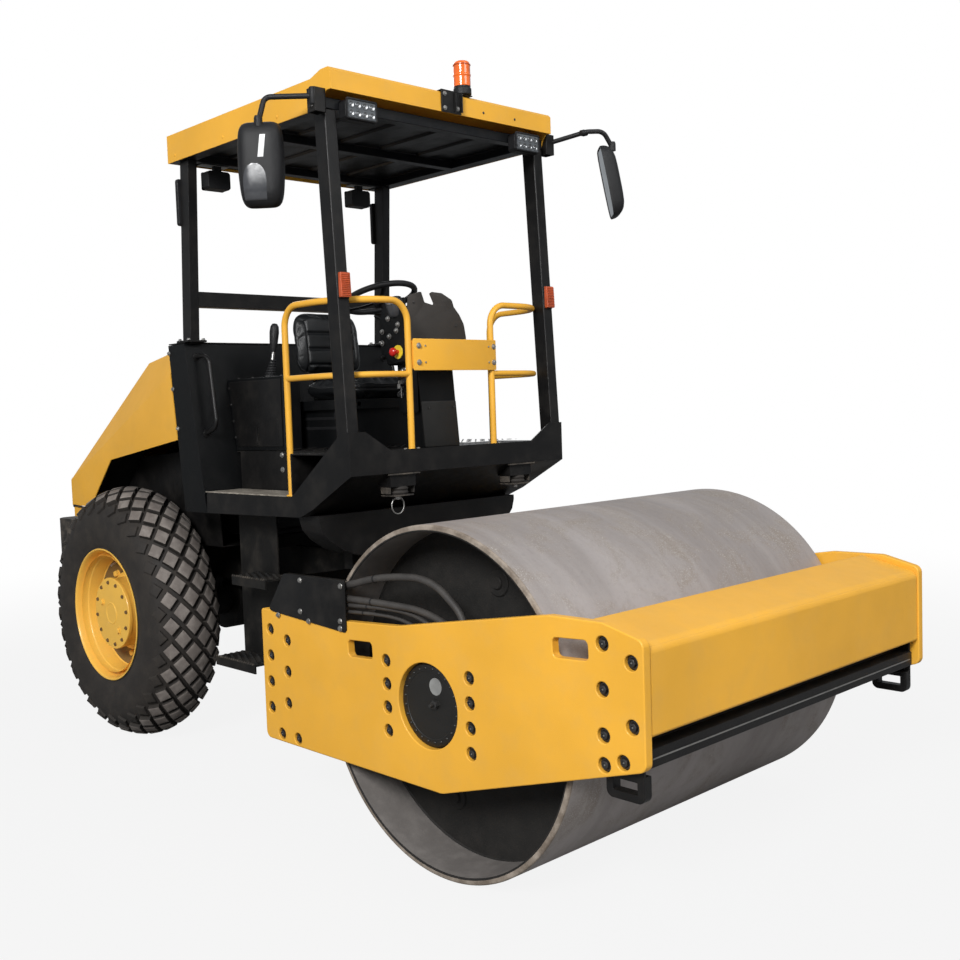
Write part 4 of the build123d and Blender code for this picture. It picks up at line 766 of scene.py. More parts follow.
def build_drum():
    """Rolled shell with rounded, chipped rims; each end disc has its hub, ring of bolts and two plugs."""
    a = np.linspace(0, math.pi / 2, 5)
    outer = [(DRUM_R - 0.008 + 0.008 * math.sin(t), DRUM_HALF - 0.008 + 0.008 * math.cos(t)) for t in a]
    inner = [(DRUM_IN_R + 0.004 - 0.004 * math.sin(t), DRUM_HALF - 0.004 + 0.004 * math.cos(t)) for t in a]
    half = inner[::-1] + [(DRUM_R - RIM_WORN, DRUM_HALF)] + outer
    end = [(0.06, DISC_Y), (0.17, DISC_Y), (0.1701, DISC_Y), (DRUM_IN_R - 0.006, DISC_Y),
           (DRUM_IN_R, DISC_Y + 0.006)]
    right = [(r, -h) for r, h in reversed(end + half)]
    profile = end + half + [(DRUM_R, y) for y in np.linspace(0.82, -0.82, 12)] + right
    shape = placed(turned(profile, 192), along_y(DRUM_X, DRUM_R))
    columns = 192
    marks = []
    for (r0, y0), (r1, y1) in zip(profile, profile[1:]):
        r, y = (r0 + r1) / 2, abs(y0 + y1) / 2
        worn = 1 if r > DRUM_R - RIM_WORN else 2
        marks += [worn if y > DRUM_HALF - 0.009 else 0 if r > DRUM_R - 0.001 else 3 if r > DRUM_IN_R - 0.001
                  else 2] * columns
    put_piece("drum_shell", shape, "drum", [STEEL, RIM_EDGE, DRUM_INSIDE, DRUM_BORE], 40, marks)
    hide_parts("drum")
    hubs, bolts = [], []
    for side in SIDES:
        place = along_y(DRUM_X, DRUM_R, side * (DISC_Y - 0.001), side)
        face, nose = 0.765 - DISC_Y, 0.853 - DISC_Y
        hubs.append(placed(turned([(0.06, face), (0.13, face), (0.138, face - 0.008), (0.14, 0.0)], 64),
                           place))
        hubs.append(placed(turned([(0.0, nose), (0.056, nose), (0.0598, nose - 0.004), (0.0598, 0.0)], 48),
                           place))
        for turn in np.arange(0, 360, 30):
            t = math.radians(turn)
            bolts.append(along_y(DRUM_X + 0.108 * math.cos(t), DRUM_R + 0.108 * math.sin(t),
                                 side * 0.763, side, turn))
        for turn, reach in ((73, 0.43), (253, 0.43)):
            t = math.radians(turn)
            plug = turned([(0, 0.014), (0.02, 0.014), (0.024, 0.010), (0.024, 0.006), (0.046, 0.006),
                           (0.05, 0.003), (0.05, -0.001)], 32)
            hubs.append(placed(plug, along_y(DRUM_X + reach * math.cos(t), DRUM_R + reach * math.sin(t),
                                             side * DISC_Y, side)))
    put_piece("drum_end_hubs", merged(*hubs), "drum", DRUM_INSIDE)
    put_piece("drum_end_bolts", copies(hex_bolt(0.011, 0.008, 0.015), bolts), "drum", BOLT_BLACK)


# ---------------------------------------------------------------- side plates
PLATE_OUTLINE = [          # x from the drum axle, z, corner radius
    (-0.997, 0.330, 0.03), (0.060, 0.330, 0.10), (0.930, 0.592, 0.03), (0.930, 0.972, 0.03),
    (0.780, 1.011, 0.06), (0.569, 1.009, 0.12), (0.180, 0.945, 0.3), (-0.150, 0.890, 0.3),
    (-0.460, 0.873, 0.3), (-0.997, 0.866, 0.012),
]
PLATE_BOLTS = [            # x from the drum axle, z
    (-0.940, 0.784), (-0.943, 0.676), (-0.948, 0.568), (-0.951, 0.461), (-0.824, 0.752), (-0.829, 0.625),
    (-0.834, 0.496), (-0.886, 0.362), (-0.777, 0.362), (-0.213, 0.757), (-0.213, 0.672), (-0.213, 0.587),
    (-0.213, 0.501), (0.212, 0.757), (0.212, 0.672), (0.212, 0.587), (0.212, 0.501), (0.780, 0.947),
    (0.777, 0.810), (0.777, 0.672), (0.777, 0.583), (0.885, 0.904), (0.884, 0.715), (0.848, 0.604),
]
PLATE_Y, PLATE_T = 0.895, 0.034
BOLT_WELL = 0.0235


def build_side_plate(side):
    """Thick plate pressed flat, with the axle window, two slots and a well for each bolt."""
    outline = rounded([(x, z) for x, z, _ in PLATE_OUTLINE], [r for _, _, r in PLATE_OUTLINE], 6)
    holes = [ring_loop(0, DRUM_R, 0.151, 72)]
    tilt = math.radians(3.0)
    turn = np.array([[math.cos(tilt), -math.sin(tilt)], [math.sin(tilt), math.cos(tilt)]])
    slot = rounded_box(-0.07, 0.07, -0.031, 0.031, 0.016, 5)
    holes += [slot @ turn.T + place for place in ((-0.359, 0.778), (0.656, 0.915))]
    holes += [ring_loop(x, z, BOLT_WELL, 24) for x, z in PLATE_BOLTS]
    plate = pressed(outline, holes, PLATE_T, 0.0045, 4)
    lay = np.eye(4)
    lay[:3, :3] = np.stack([(1, 0, 0), (0, 0, 1), (0, side, 0)], 1)
    lay[:3, 3] = (DRUM_X, side * (PLATE_Y - PLATE_T), 0)
    name = "right" if side == RIGHT else "left"
    piece = put_piece(f"side_plate_{name}_pressed", placed(plate, lay), "drum_frame", YELLOW, 40, weigh=True)
    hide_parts(f"side_plate_{name}")
    # Black floor disc at the foot of each bolt well, keeping the recess dark: painted shade.
    floor = turned([(0.0, 0.0), (BOLT_WELL + 0.001, 0.0)], 24)
    heads = [along_y(DRUM_X + x, z, side * (PLATE_Y - 0.016), side, 17.0 * k)
             for k, (x, z) in enumerate(PLATE_BOLTS)]
    put_piece(f"bolt_well_shade_floors_{name}", copies(floor, heads), "drum_frame", BLACK)
    bolt = merged(turned([(0.0060, 0.0155), (0.0100, 0.0155), (0.0135, 0.0135), (0.0148, 0.0)], 6),
                  turned([(0.0148, 0.0055), (0.0200, 0.0045), (0.0210, 0.002), (0.0210, 0.0)], 32),
                  turned([(0.0, 0.0110), (0.0058, 0.0110), (0.0062, 0.0155)], 6))
    put_piece(f"plate_bolts_{name}", copies(bolt, heads), "drum_frame", BOLT_BLACK)
    # Small zinc dot in the middle of each bolt head: a painted glint.
    pip = turned([(0.0, 0.0150), (0.0028, 0.0146), (0.0036, 0.0110)], 12)
    put_piece(f"plate_bolt_painted_glints_{name}", copies(pip, heads), "drum_frame", ZINC)


def build_axle_covers():
    """Cover disc in each axle window: rim, ring of small screws, blank label and a breather."""
    discs, screws, marks = [], [], []
    for side in SIDES:
        place = along_y(DRUM_X, DRUM_R, side * 0.876, side)
        discs.append(placed(turned([(0, 0.002), (0.118, 0.002), (0.120, 0.0035), (0.140, 0.0035),
                                    (0.144, 0.001), (0.1475, -0.004), (0.1475, -0.02)], 96), place))
        for turn in np.arange(7.5, 360, 15):
            t = math.radians(turn)
            screws.append(along_y(DRUM_X + 0.130 * math.cos(t), DRUM_R + 0.130 * math.sin(t), side * 0.8792,
                                  side))
        marks.append(placed(turned([(0, 0.0016), (0.030, 0.0016), (0.0305, 0.0)], 40),
                            along_y(DRUM_X + side * -0.030, DRUM_R + 0.070, side * 0.878, side)))
    put_piece("axle_covers", merged(*discs), "drum_frame", COVER_BLACK)
    put_piece("axle_cover_screws", copies(button_head(0.0055, 0.004), screws), "drum_frame", COVER_BLACK)
    put_piece("axle_cover_labels", merged(*marks), "drum_frame", LABEL_GREY)
    breather = merged(turned([(0, 0.03), (0.006, 0.03), (0.008, 0.024), (0.008, 0.014), (0.014, 0.012),
                              (0.014, 0.0)], 12), turned([(0, 0.008), (0.018, 0.008), (0.018, 0.0)], 6))
    spots = [along_y(DRUM_X + side * -0.028, DRUM_R + 0.008, side * 0.878, side) for side in SIDES]
    put_piece("axle_cover_breathers", copies(breather, spots), "drum_frame", BOLT_BLACK)


# ---------------------------------------------------------------- rear wheels
TYRE_R = 0.653
CARCASS = [                # radius, y out from the tyre's middle plane
    (0.3300, 0.156), (0.336, 0.164), (0.343, 0.1655), (0.350, 0.164), (0.360, 0.169), (0.382, 0.177),
    (0.412, 0.1835), (0.445, 0.1865), (0.480, 0.185), (0.515, 0.178), (0.545, 0.164), (0.570, 0.143),
    (0.590, 0.118), (0.607, 0.088), (0.619, 0.055), (0.6265, 0.025), (0.628, 0.0),
]
LUG_PITCH = 30
# distance from the tread's middle, half pitches round, half width, half length, rise
LUG_COLUMNS = [
    (0.0250, 0, 0.0385, 0.0510, 0.025), (0.0750, 1, 0.0385, 0.0505, 0.024),
    (0.1250, 0, 0.0375, 0.0490, 0.023), (0.1800, 1, 0.0350, 0.0430, 0.013),
]


def carcass_line():
    """Fine half section from the tread's middle to the bead, with the distance along it and its normals."""
    half = smooth_path([(y, r, 0) for r, y in CARCASS[::-1]], 6)[:, :2]
    run = np.concatenate([[0], np.cumsum(np.linalg.norm(np.diff(half, axis=0), axis=1))])
    slope = np.gradient(half, axis=0)
    slope /= np.linalg.norm(slope, axis=1)[:, None]
    return run, half, np.stack([-slope[:, 1], slope[:, 0]], -1)


def tread_point(across, turn, rise):
    """Point on the tread: distance across from the middle, angle round, rise along the carcass's normal."""
    run, half, normal = carcass_line()
    reach = abs(across)
    y = np.interp(reach, run, half[:, 0]) + rise * np.interp(reach, run, normal[:, 0])
    radius = np.interp(reach, run, half[:, 1]) + rise * np.interp(reach, run, normal[:, 1])
    return np.stack([radius * np.cos(turn), radius * np.sin(turn), np.sign(across) * y], -1)


def lug_rings():
    """Unit diamond with blunted corners: rings from the foot, over the rounded edge, to the face."""
    t = np.radians([0, 90, 180, 270])
    t = np.stack([t - 0.10, t, t + 0.10], -1).reshape(-1)
    reach = np.tile([0.955, 0.97, 0.955], 4) / (abs(np.cos(t)) + abs(np.sin(t)))
    rows = [(1.12, -0.35), (1.06, 0.5), (1.02, 0.90), (0.985, 0.97), (0.93, 1.0), (0.5, 1.0)]
    return np.array([np.stack([g * reach * np.cos(t), g * reach * np.sin(t), 0 * t + h], -1)
                     for g, h in rows])


def build_tyre(side):
    """Carcass turned about the axle; diamond lugs in eight columns, each half a pitch further round."""
    name = "right" if side == RIGHT else "left"
    _, half, _ = carcass_line()
    section = np.vstack([half[::-1], half[1:] * (-1, 1)])[:, ::-1]
    place = along_y(AXLE_X, TYRE_R, side * TYRE_Y, side)
    piece = put_piece(f"tyre_{name}_carcass", placed(turned(section, 180), place), f"wheel_{name}", TYRE, 50)
    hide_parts(f"tyre_{name}")
    rings = lug_rings()
    rows, sides = rings.shape[:2]
    cells = grid_faces(rows, sides, wrap_columns=True) + [[(rows - 1) * sides + i for i in range(sides)]]
    worn_from = (rows - 3) * sides
    points, faces, marks, count = [], [], [], 0
    for middle, shift, half_w, half_l, rise in LUG_COLUMNS:
        for edge in (1, -1):
            stagger = shift / 2 if edge == 1 else (shift + 1) / 2
            k = (np.arange(LUG_PITCH) + stagger) * TAU / LUG_PITCH
            across = edge * (middle + half_w * rings[..., 0])
            turn = k[:, None, None] + half_l * rings[..., 1] / TYRE_R
            spots = tread_point(np.broadcast_to(across, turn.shape), turn, rise * rings[..., 2])
            points.append(spots.reshape(-1, 3))
            for _ in range(LUG_PITCH):
                faces += [[i + count for i in one] for one in cells]
                marks += [int(rise > 0.015 and n >= worn_from) for n in range(len(cells))]
                count += rows * sides
    spots = placed((np.vstack(points), faces), place)
    put_piece(f"tyre_{name}_lugs", spots, f"wheel_{name}", [TYRE, LUG_FACE], 32, marks)


RIM_PROFILE = [            # radius, y out from the tyre's middle plane: outer face of the rim
    (0.3290, 0.150), (0.3310, 0.157), (0.3370, 0.162), (0.3405, 0.165), (0.3430, 0.169), (0.3430, 0.1715),
    (0.3405, 0.1730), (0.3365, 0.1725), (0.3335, 0.1690), (0.3300, 0.1600), (0.3255, 0.1400),
    (0.3190, 0.1260), (0.3050, 0.1200), (0.3000, 0.1140), (0.2975, 0.1000), (0.2960, 0.0700),
    (0.2930, 0.0580), (0.284, 0.046), (0.268, 0.034), (0.250, 0.020), (0.242, 0.0165), (0.235, 0.0160),
    (0.075, 0.0160),
]
# Profile segments from this one on, the back web, take the dark brown of painted shade mixed with dirt.
WEB_FROM = 17
HUB_PROFILE = [            # radius, y out from the tyre's middle plane: planetary hub
    (0.206, 0.012), (0.206, 0.030), (0.203, 0.034), (0.184, 0.036), (0.181, 0.040), (0.181, 0.108),
    (0.182, 0.110), (0.1850, 0.111), (0.1860, 0.113), (0.1860, 0.1280), (0.1835, 0.1310), (0.145, 0.1332),
    (0.062, 0.1340), (0.058, 0.1342), (0.055, 0.1370), (0.051, 0.1370), (0.048, 0.1350), (0.0, 0.1350),
]


def build_wheel(side):
    """Dished rim and planetary hub turned about the axle, with nuts, cover bolts, plug and valve."""
    name = "right" if side == RIGHT else "left"
    place = along_y(AXLE_X, TYRE_R, side * TYRE_Y, side)
    body = f"wheel_{name}"
    outer = turned(RIM_PROFILE, 120)
    hub = turned(HUB_PROFILE, 96)
    back = turned([(0.3045, 0.151), (0.3045, 0.12), (0.288, 0.09), (0.288, -0.09), (0.3045, -0.13),
                   (0.3045, -0.157), (0.34, -0.162), (0.34, -0.1725), (0.30, -0.1725), (0.2955, -0.10),
                   (0.275, -0.09), (0.275, 0.03),
                   (0.225, 0.002), (0.18, 0.0), (0.18, -0.06), (0.165, -0.08), (0.165, -0.19), (0.07, -0.19)],
                   96)
    # The web's faces get the painted-shade brown.
    shaded = [int(k >= WEB_FROM) for k in range(len(RIM_PROFILE) - 1) for _ in range(120)]
    marks = shaded + [0] * (len(hub[1]) + len(back[1]))
    piece = put_piece(f"rim_{name}_turned", placed(merged(outer, hub, back), place), body,
                      [YELLOW_WHEEL, WEB_SHADE_AND_CLEAT_BROWN], 30, marks)
    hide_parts(f"rim_{name}")
    nuts, caps, ribs = [], [], []
    for turn in np.arange(18, 360, 36):
        t = math.radians(turn)
        nuts.append(place @ facing((0.226 * math.cos(t), 0.226 * math.sin(t), 0.0165)))
    for turn in np.arange(0, 360, 30):
        t = math.radians(turn + 8)
        caps.append(place @ facing((0.161 * math.cos(t), 0.161 * math.sin(t), 0.1315)))
    for turn in np.arange(6, 360, 90):
        t = math.radians(turn)
        ribs.append(place @ facing((0.262 * math.cos(t), 0.262 * math.sin(t), 0.034), turn=turn))
    put_piece(f"wheel_nuts_{name}", copies(hex_bolt(0.017, 0.020, 0.021), nuts), body, YELLOW_WHEEL)
    put_piece(f"hub_bolts_{name}", copies(hex_bolt(0.0085, 0.006, 0.0105), caps), body, WORN_BOLT)
    put_piece(f"rim_cleats_{name}", copies(brick((0.034, 0.040, 0.020)), ribs), body, WEB_SHADE_AND_CLEAT_BROWN, ease=0.003)
    plug = merged(turned([(0, 0.010), (0.012, 0.010), (0.014, 0.008), (0.014, 0.0)], 6),
                  turned([(0, 0.002), (0.021, 0.002), (0.021, 0.0)], 24))
    put_piece(f"hub_plugs_{name}", copies(plug, [place @ facing((0.070, -0.085, 0.1335)),
                                                 place @ facing((-0.095, 0.050, 0.1335))]),
              body, YELLOW_WHEEL)
    valve = tube(bent([(-0.030, 0.276, 0.050), (-0.028, 0.262, 0.072), (-0.020, 0.246, 0.112)], 0.012),
                 0.0060, 10)
    put_piece(f"valve_stem_{name}", placed(valve, place), body, ZINC)


# ---------------------------------------------------------------- small repeated parts
FRONT, BACK, UP, DOWN = (1, 0, 0), (-1, 0, 0), (0, 0, 1), (0, 0, -1)


def heads(name, body, spots, radius=0.0085, height=0.006, washer=0.0125, material=None):
    """Hexagon heads at (place, direction out of the surface)."""
    places = [facing(place, out, turn=23.0 * k) for k, (place, out) in enumerate(spots)]
    put_piece(name, copies(hex_bolt(radius, height, washer), places), body, material or ZINC)


# ---------------------------------------------------------------- roof, lamps and beacon
ROOF_FRONT, VISOR_TOP, BEACON_AT = 0.609, 3.016, (0.587, 0.098)
TAIL_LENS_X, TAIL_LAMP_Y = -0.6390, 0.600


def build_beacon():
    """Turned base and banded dome on a folded bracket."""
    x, y = BEACON_AT
    at = facing((x, y, VISOR_TOP))
    base = turned([(0.0, 0.006), (0.037, 0.006), (0.040, 0.009), (0.040, 0.032), (0.0385, 0.036),
                   (0.036, 0.0385), (0.036, 0.044), (0.0, 0.044)], 48)
    piece = put_piece("beacon_base", placed(base, at), "rear_frame", PLASTIC)
    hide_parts("beacon")
    wall = []
    for height in np.linspace(0.044, 0.134, 31):
        wall.append((0.0372 + 0.0006 * math.cos(height * 1100.0), height))
    a = np.linspace(0, math.pi / 2, 7)
    crown = [(0.026 + 0.0105 * math.cos(t), 0.1365 + 0.0150 * math.sin(t)) for t in a]
    band = [(0.0388, 0.0880), (0.0393, 0.0895), (0.0393, 0.0935), (0.0388, 0.0950)]
    lower = [p for p in wall if p[1] < 0.087]
    upper = [p for p in wall if p[1] > 0.096]
    dome = turned(lower + band + upper + [(0.0375, 0.1345)] + crown + [(0.006, 0.1535), (0.0, 0.1535)], 48)
    put_piece("beacon_dome", placed(dome, at), "rear_frame", AMBER_LIGHT, 50)
    ring = turned([(0.0372, 0.1335), (0.0395, 0.1345), (0.0395, 0.1375), (0.0365, 0.1390)], 48)
    put_piece("beacon_ring", placed(ring, at), "rear_frame", AMBER)
    plate = merged(brick((0.004, 0.118, 0.096), (ROOF_FRONT + 0.0024, 0.003, 2.975)),
                   brick((0.070, 0.190, 0.004), (ROOF_FRONT - 0.0306, 0.039, VISOR_TOP + 0.0035)),
                   brick((0.005, 0.004, 0.060), (ROOF_FRONT + 0.007, -0.055, 2.985)),
                   brick((0.014, 0.004, 0.082), (ROOF_FRONT + 0.011, 0.020, 2.975)),
                   brick((0.014, 0.004, 0.082), (ROOF_FRONT + 0.011, 0.058, 2.975)))
    put_piece("beacon_bracket", plate, "rear_frame", BLACK, ease=0.001)
    heads("beacon_bracket_bolts", "rear_frame", [((ROOF_FRONT + 0.0044, y, z), FRONT) for y, z in
          ((-0.036, 3.005), (-0.036, 2.945), (0.039, 2.950))], 0.007, 0.005, 0.010)


def lamp_face(width, height, across, rows):
    """Bezel with its lens and a grid of small reflectors; faces along Z."""
    bezel = pressed(rounded_box(-width / 2, width / 2, -height / 2, height / 2, 0.008, 3),
                    [rounded_box(-width / 2 + 0.007, width / 2 - 0.007, -height / 2 + 0.007,
                                 height / 2 - 0.007, 0.004, 3)], 0.008, 0.0015, 2)
    lens = brick((width - 0.014, height - 0.014, 0.004), (0, 0, 0.002))
    cell = turned([(0.0145, 0.0005), (0.0140, 0.0030), (0.0115, 0.0030), (0.0085, 0.0012), (0.0050, 0.0006),
                   (0.0045, 0.0026), (0.0, 0.0032)], 14)
    step_x, step_y = (width - 0.016) / across, (height - 0.016) / rows
    spots = [facing(((i - (across - 1) / 2) * step_x, (j - (rows - 1) / 2) * step_y, 0.0035), UP)
             for i in range(across) for j in range(rows)]
    return bezel, lens, copies(cell, spots)


def build_lamps():
    """Work lamps under the roof's front and rear edges; tail lamps on the back of the rear posts."""
    for name, x, y, z, width, height, out in (("front", 0.5994, 0.493, 2.868, 0.160, 0.084, FRONT),
                                              ("rear", -0.6152, 0.440, 2.793, 0.124, 0.086, BACK)):
        bezel, lens, cells = lamp_face(width, height, 4, 2)
        spots = [facing((x, side * y, z), out) for side in SIDES]
        put_piece(f"{name}_lamp_bezels", copies(bezel, spots), "rear_frame", PLASTIC)
        put_piece(f"{name}_lamp_lenses", copies(lens, spots), "rear_frame", LAMP_FACE)
        put_piece(f"{name}_lamp_cells", copies(cells, spots), "rear_frame", REFLECTOR, 50)
    fins = [brick((0.036, 0.0025, 0.070), (0.575, side * (0.493 + d), 2.867))
            for side in SIDES for d in np.linspace(-0.066, 0.066, 7)]
    put_piece("front_lamp_fins", merged(*fins), "rear_frame", PLASTIC)
    hangers = [brick((0.05, 0.150, 0.004), (-0.585, side * 0.455, 2.862)) for side in SIDES]
    put_piece("rear_lamp_hangers", merged(*hangers), "rear_frame", ZINC, ease=0.001)
    shell = pressed(rounded_box(-0.038, 0.038, -0.110, 0.110, 0.012, 4),
                    (), 0.022, 0.004, 3)
    spots = [facing((-0.6165, side * TAIL_LAMP_Y, 2.680), BACK) for side in SIDES]
    put_piece("tail_lamp_bodies", copies(shell, spots), "rear_frame", PLASTIC)
    glow = merged(*[brick((0.008, 0.056, 0.090), (TAIL_LENS_X, side * TAIL_LAMP_Y, 2.735)) for side in SIDES])
    put_piece("tail_lamp_lenses", glow, "rear_frame", RED, ease=0.002)
    turn = merged(*[brick((0.008, 0.056, 0.075), (TAIL_LENS_X, side * TAIL_LAMP_Y, 2.635)) for side in SIDES])
    put_piece("rear_turn_lenses", turn, "rear_frame", AMBER, ease=0.002)
    ribs = []
    for side in SIDES:
        for z in np.linspace(2.122, 2.204, 12):
            x = 0.6115 - 0.05 * (z - 2.163)
            ribs.append(tube([(x, side * 0.594, z), (x, side * 0.638, z)], 0.0030, 8))
    put_piece("marker_lamp_ribs", merged(*ribs), "rear_frame", AMBER, 60)
    seats = [brick((0.006, 0.056, 0.106), (0.5915, side * 0.616, 2.163)) for side in SIDES]
    put_piece("marker_lamp_seats", merged(*seats), "rear_frame", PLASTIC, ease=0.002)


def build_roof_trim():
    """Screws of the fascia, bolts of the skirts and the liner's pressed ribs."""
    screws = [facing((ROOF_FRONT, y, 2.959), FRONT) for y in (0.203, 0.405)]
    put_piece("fascia_screws", copies(button_head(0.006, 0.003), screws), "rear_frame", BOLT_BLACK)
    skirt = [((x, side * 0.6532, 2.895), (0, side, 0)) for x in (-0.60, -0.18, 0.24) for side in SIDES]
    put_piece("skirt_screws", copies(button_head(0.007, 0.003), [facing(*spot) for spot in skirt]),
              "rear_frame", YELLOW)
    profile = [(-0.045, 0.0), (-0.030, -0.010), (0.030, -0.010), (0.045, 0.0)]
    ribs = []
    for y in (-0.36, -0.12, 0.12, 0.36):
        for x0, x1 in ((-0.53, -0.06), (0.02, 0.49)):
            ribs.append(carried(profile, [(x0, y, 2.9045), (x1, y, 2.9045)], up=(0, 0, 1)))
    put_piece("liner_ribs", merged(*ribs), "rear_frame", LINER, ease=0.003)


# ---------------------------------------------------------------- mirrors
MIRROR_HALF = (0.0925, 0.1675, 0.062)      # half width, half height, depth
MIRROR_ARMS = {
    RIGHT: ((0.433, 0.880, 2.640), [(0.560, 0.700, 2.902), (0.470, 0.790, 2.905), (0.425, 0.840, 2.905),
                                    (0.433, 0.880, 2.800)]),
    LEFT: ((0.791, 0.880, 2.700), [(0.560, 0.700, 2.902), (0.730, 0.770, 2.930), (0.780, 0.830, 2.930),
                                   (0.791, 0.880, 2.860)]),
}


SHELL_POWER = 6            # of the shell's rounded outline
CLAMP_X, CLAMP_Z = 0.560, 2.888


def outline_reach(t):
    """Sixth root of |cos t|^6 + |sin t|^6."""
    return (abs(np.cos(t)) ** SHELL_POWER + abs(np.sin(t)) ** SHELL_POWER) ** (1 / SHELL_POWER)


def shell_point(u, v):
    """Mirror shell: u across and v up, each from -1 to 1.

    With g the sixth root of u^6 + v^6 the depth is D (1 - g^5)^0.5, and the width narrows towards the foot.
    """
    half_w, half_h, depth = MIRROR_HALF
    g = np.minimum(1.0, (abs(u) ** SHELL_POWER + abs(v) ** SHELL_POWER) ** (1 / SHELL_POWER))
    narrow = 1 - 0.13 * np.clip(-v - 0.15, 0, 1) - 0.06 * np.clip(v - 0.3, 0, 1)
    return np.stack([half_w * u * narrow, half_h * v, depth * np.sqrt(1 - g ** 5)], -1)


def mirror_shell():
    t = np.linspace(0, TAU, 72, endpoint=False)
    reach = 1 / outline_reach(t)
    rings = [shell_point(g * reach * np.cos(t), g * reach * np.sin(t)) for g in
             (1.0, 0.9985, 0.993, 0.98, 0.96, 0.93, 0.88, 0.8, 0.68, 0.5, 0.3, 0.12)]
    lip = [rings[0] * (1, 1, 0) + (0, 0, -0.004), rings[0] * (0.985, 0.99, 0) + (0, 0, -0.006),
           rings[0] * (0.95, 0.972, 0) + (0, 0, -0.006), rings[0] * (0.93, 0.962, 0) + (0, 0, -0.001)]
    rows = lip[::-1] + rings
    points = np.vstack(rows)
    faces = grid_faces(len(rows), len(t), wrap_columns=True)
    faces += [list(range(len(t)))[::-1], [(len(rows) - 1) * len(t) + k for k in range(len(t))]]
    return points, faces


def decal(us, vs, lift=0.0006):
    """Thin patch that follows the shell between the given lines."""
    u, v = np.broadcast_arrays(np.array(us)[None, :], np.array(vs)[:, None]) if np.ndim(us) == 1 else (us, vs)
    return shell_point(u, v) + (0, 0, lift)


def patch(points):
    """Closed thin sheet under a grid of points."""
    rows, columns = points.shape[:2]
    both = np.vstack([points.reshape(-1, 3), points.reshape(-1, 3) - (0, 0, 0.002)])
    faces = grid_faces(rows, columns)
    edge = list(range(columns)) + [r * columns + columns - 1 for r in range(1, rows)]
    edge += ([(rows - 1) * columns + k for k in range(columns - 2, -1, -1)]
             + [r * columns for r in range(rows - 2, 0, -1)])
    n = rows * columns
    faces = faces + [[k + n for k in reversed(f)] for f in faces]
    faces += [[a, b, b + n, a + n] for a, b in zip(edge, edge[1:] + edge[:1])]
    return both, faces


def build_mirrors():
    """Clamp, bent arm with its knuckle, domed shell and glass on each side."""
    arms, clamps, shells, glass, knuckles = [], [], [], [], []
    flat = mirror_shell()
    t = np.linspace(0, TAU, 48, endpoint=False)
    reach = 0.93 / outline_reach(t)
    face = shell_point(reach * np.cos(t), reach * np.sin(t)) * (1, 1, 0)
    pane = (np.vstack([face + (0, 0, -0.0035), face + (0, 0, 0.001)]),
            grid_faces(2, 48, wrap_columns=True) + [list(range(48)), list(range(48, 96))])
    for side in SIDES:
        (px, py, pz), arm = MIRROR_ARMS[side]
        flip = np.array((1, side, 1))
        line = bent([np.array(p) * flip for p in arm], [0.02, 0.03] if side == RIGHT else [0.04, 0.05], 8)
        arms.append(tube(line, 0.011, 16))
        place = facing(np.array((px, py, pz)) * flip, (1, side, 0 if side == RIGHT else 0.25))
        place[:3, 3] -= place[:3, 2] * 0.031
        shells.append(placed(flat, place))
        glass.append(placed(pane, place))
        clamps += [brick((along, across, 0.094), (CLAMP_X + back, side * y, CLAMP_Z))
                   for along, across, back, y in (
                       (0.052, 0.006, -0.008, 0.6565), (0.006, 0.052, -0.033, 0.680),
                       (0.006, 0.052, 0.015, 0.680), (0.052, 0.006, -0.008, 0.7055))]
        knuckles.append(lathed([(0, 0.034), (0.012, 0.034), (0.015, 0.030), (0.015, -0.030), (0.012, -0.034),
                                (0, -0.034)], 24, (CLAMP_X, side * 0.704, 2.902)))
        if side == LEFT:
            knuckles.append(lathed([(0, 0.02), (0.013, 0.018), (0.016, 0.0), (0.013, -0.018), (0, -0.02)], 20,
                                   (0.716, 0.764, 2.926), (0.3, 1, 0.1)))
        knuckles.append(lathed([(0, 0.03), (0.014, 0.03), (0.017, 0.02), (0.017, -0.012), (0, -0.012)], 20,
                               (px, side * py, pz + 0.155)))
    piece = put_piece("mirror_shells", merged(*shells), "rear_frame", PLASTIC, 50)
    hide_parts("mirrors")
    put_piece("mirror_arms", merged(*arms), "rear_frame", PLASTIC, 50)
    put_piece("mirror_clamps", merged(*clamps), "rear_frame", BLACK, ease=0.0015)
    put_piece("mirror_knuckles", merged(*knuckles), "rear_frame", PLASTIC, 40)
    put_piece("mirror_glass", merged(*glass), "rear_frame", GLASS)
    right = facing(np.array(MIRROR_ARMS[RIGHT][0]) * (1, -1, 1), (1, -1, 0))
    right[:3, 3] -= right[:3, 2] * 0.031
    sticker = decal(np.linspace(0.02, 0.26, 9), np.linspace(0.12, 0.64, 15))
    sticker[:, :, 0] += (sticker[:, :, 1] - 0.06) * 0.13
    put_piece("mirror_label", placed(patch(sticker), right), "rear_frame", LABEL_WHITE, 50)
    # Paler grey gloss oval low on the right shell's back: a painted reflection of the lights.
    v = np.linspace(-0.86, -0.02, 22)
    wide = 0.50 * np.sqrt(np.clip(1 - np.clip((v + 0.50) / 0.485, 0, 1) ** 2.2, 0.0, 1)) + 0.03
    share = np.linspace(-1, 1, 15)
    oval = decal(-0.20 + 0.03 * v[:, None] + wide[:, None] * share[None, :], np.repeat(v[:, None], 15, 1),
                 0.0012)
    put_piece("mirror_shell_painted_sheen", placed(patch(oval), right), "rear_frame", GREY_GLOSS_AND_SHEEN, 60)
    heads("mirror_clamp_bolts", "rear_frame", [((0.552, side * 0.7086, z), (0, side, 0)) for side in SIDES
          for z in (2.862, 2.918)], 0.007, 0.005, 0.010, BOLT_BLACK)


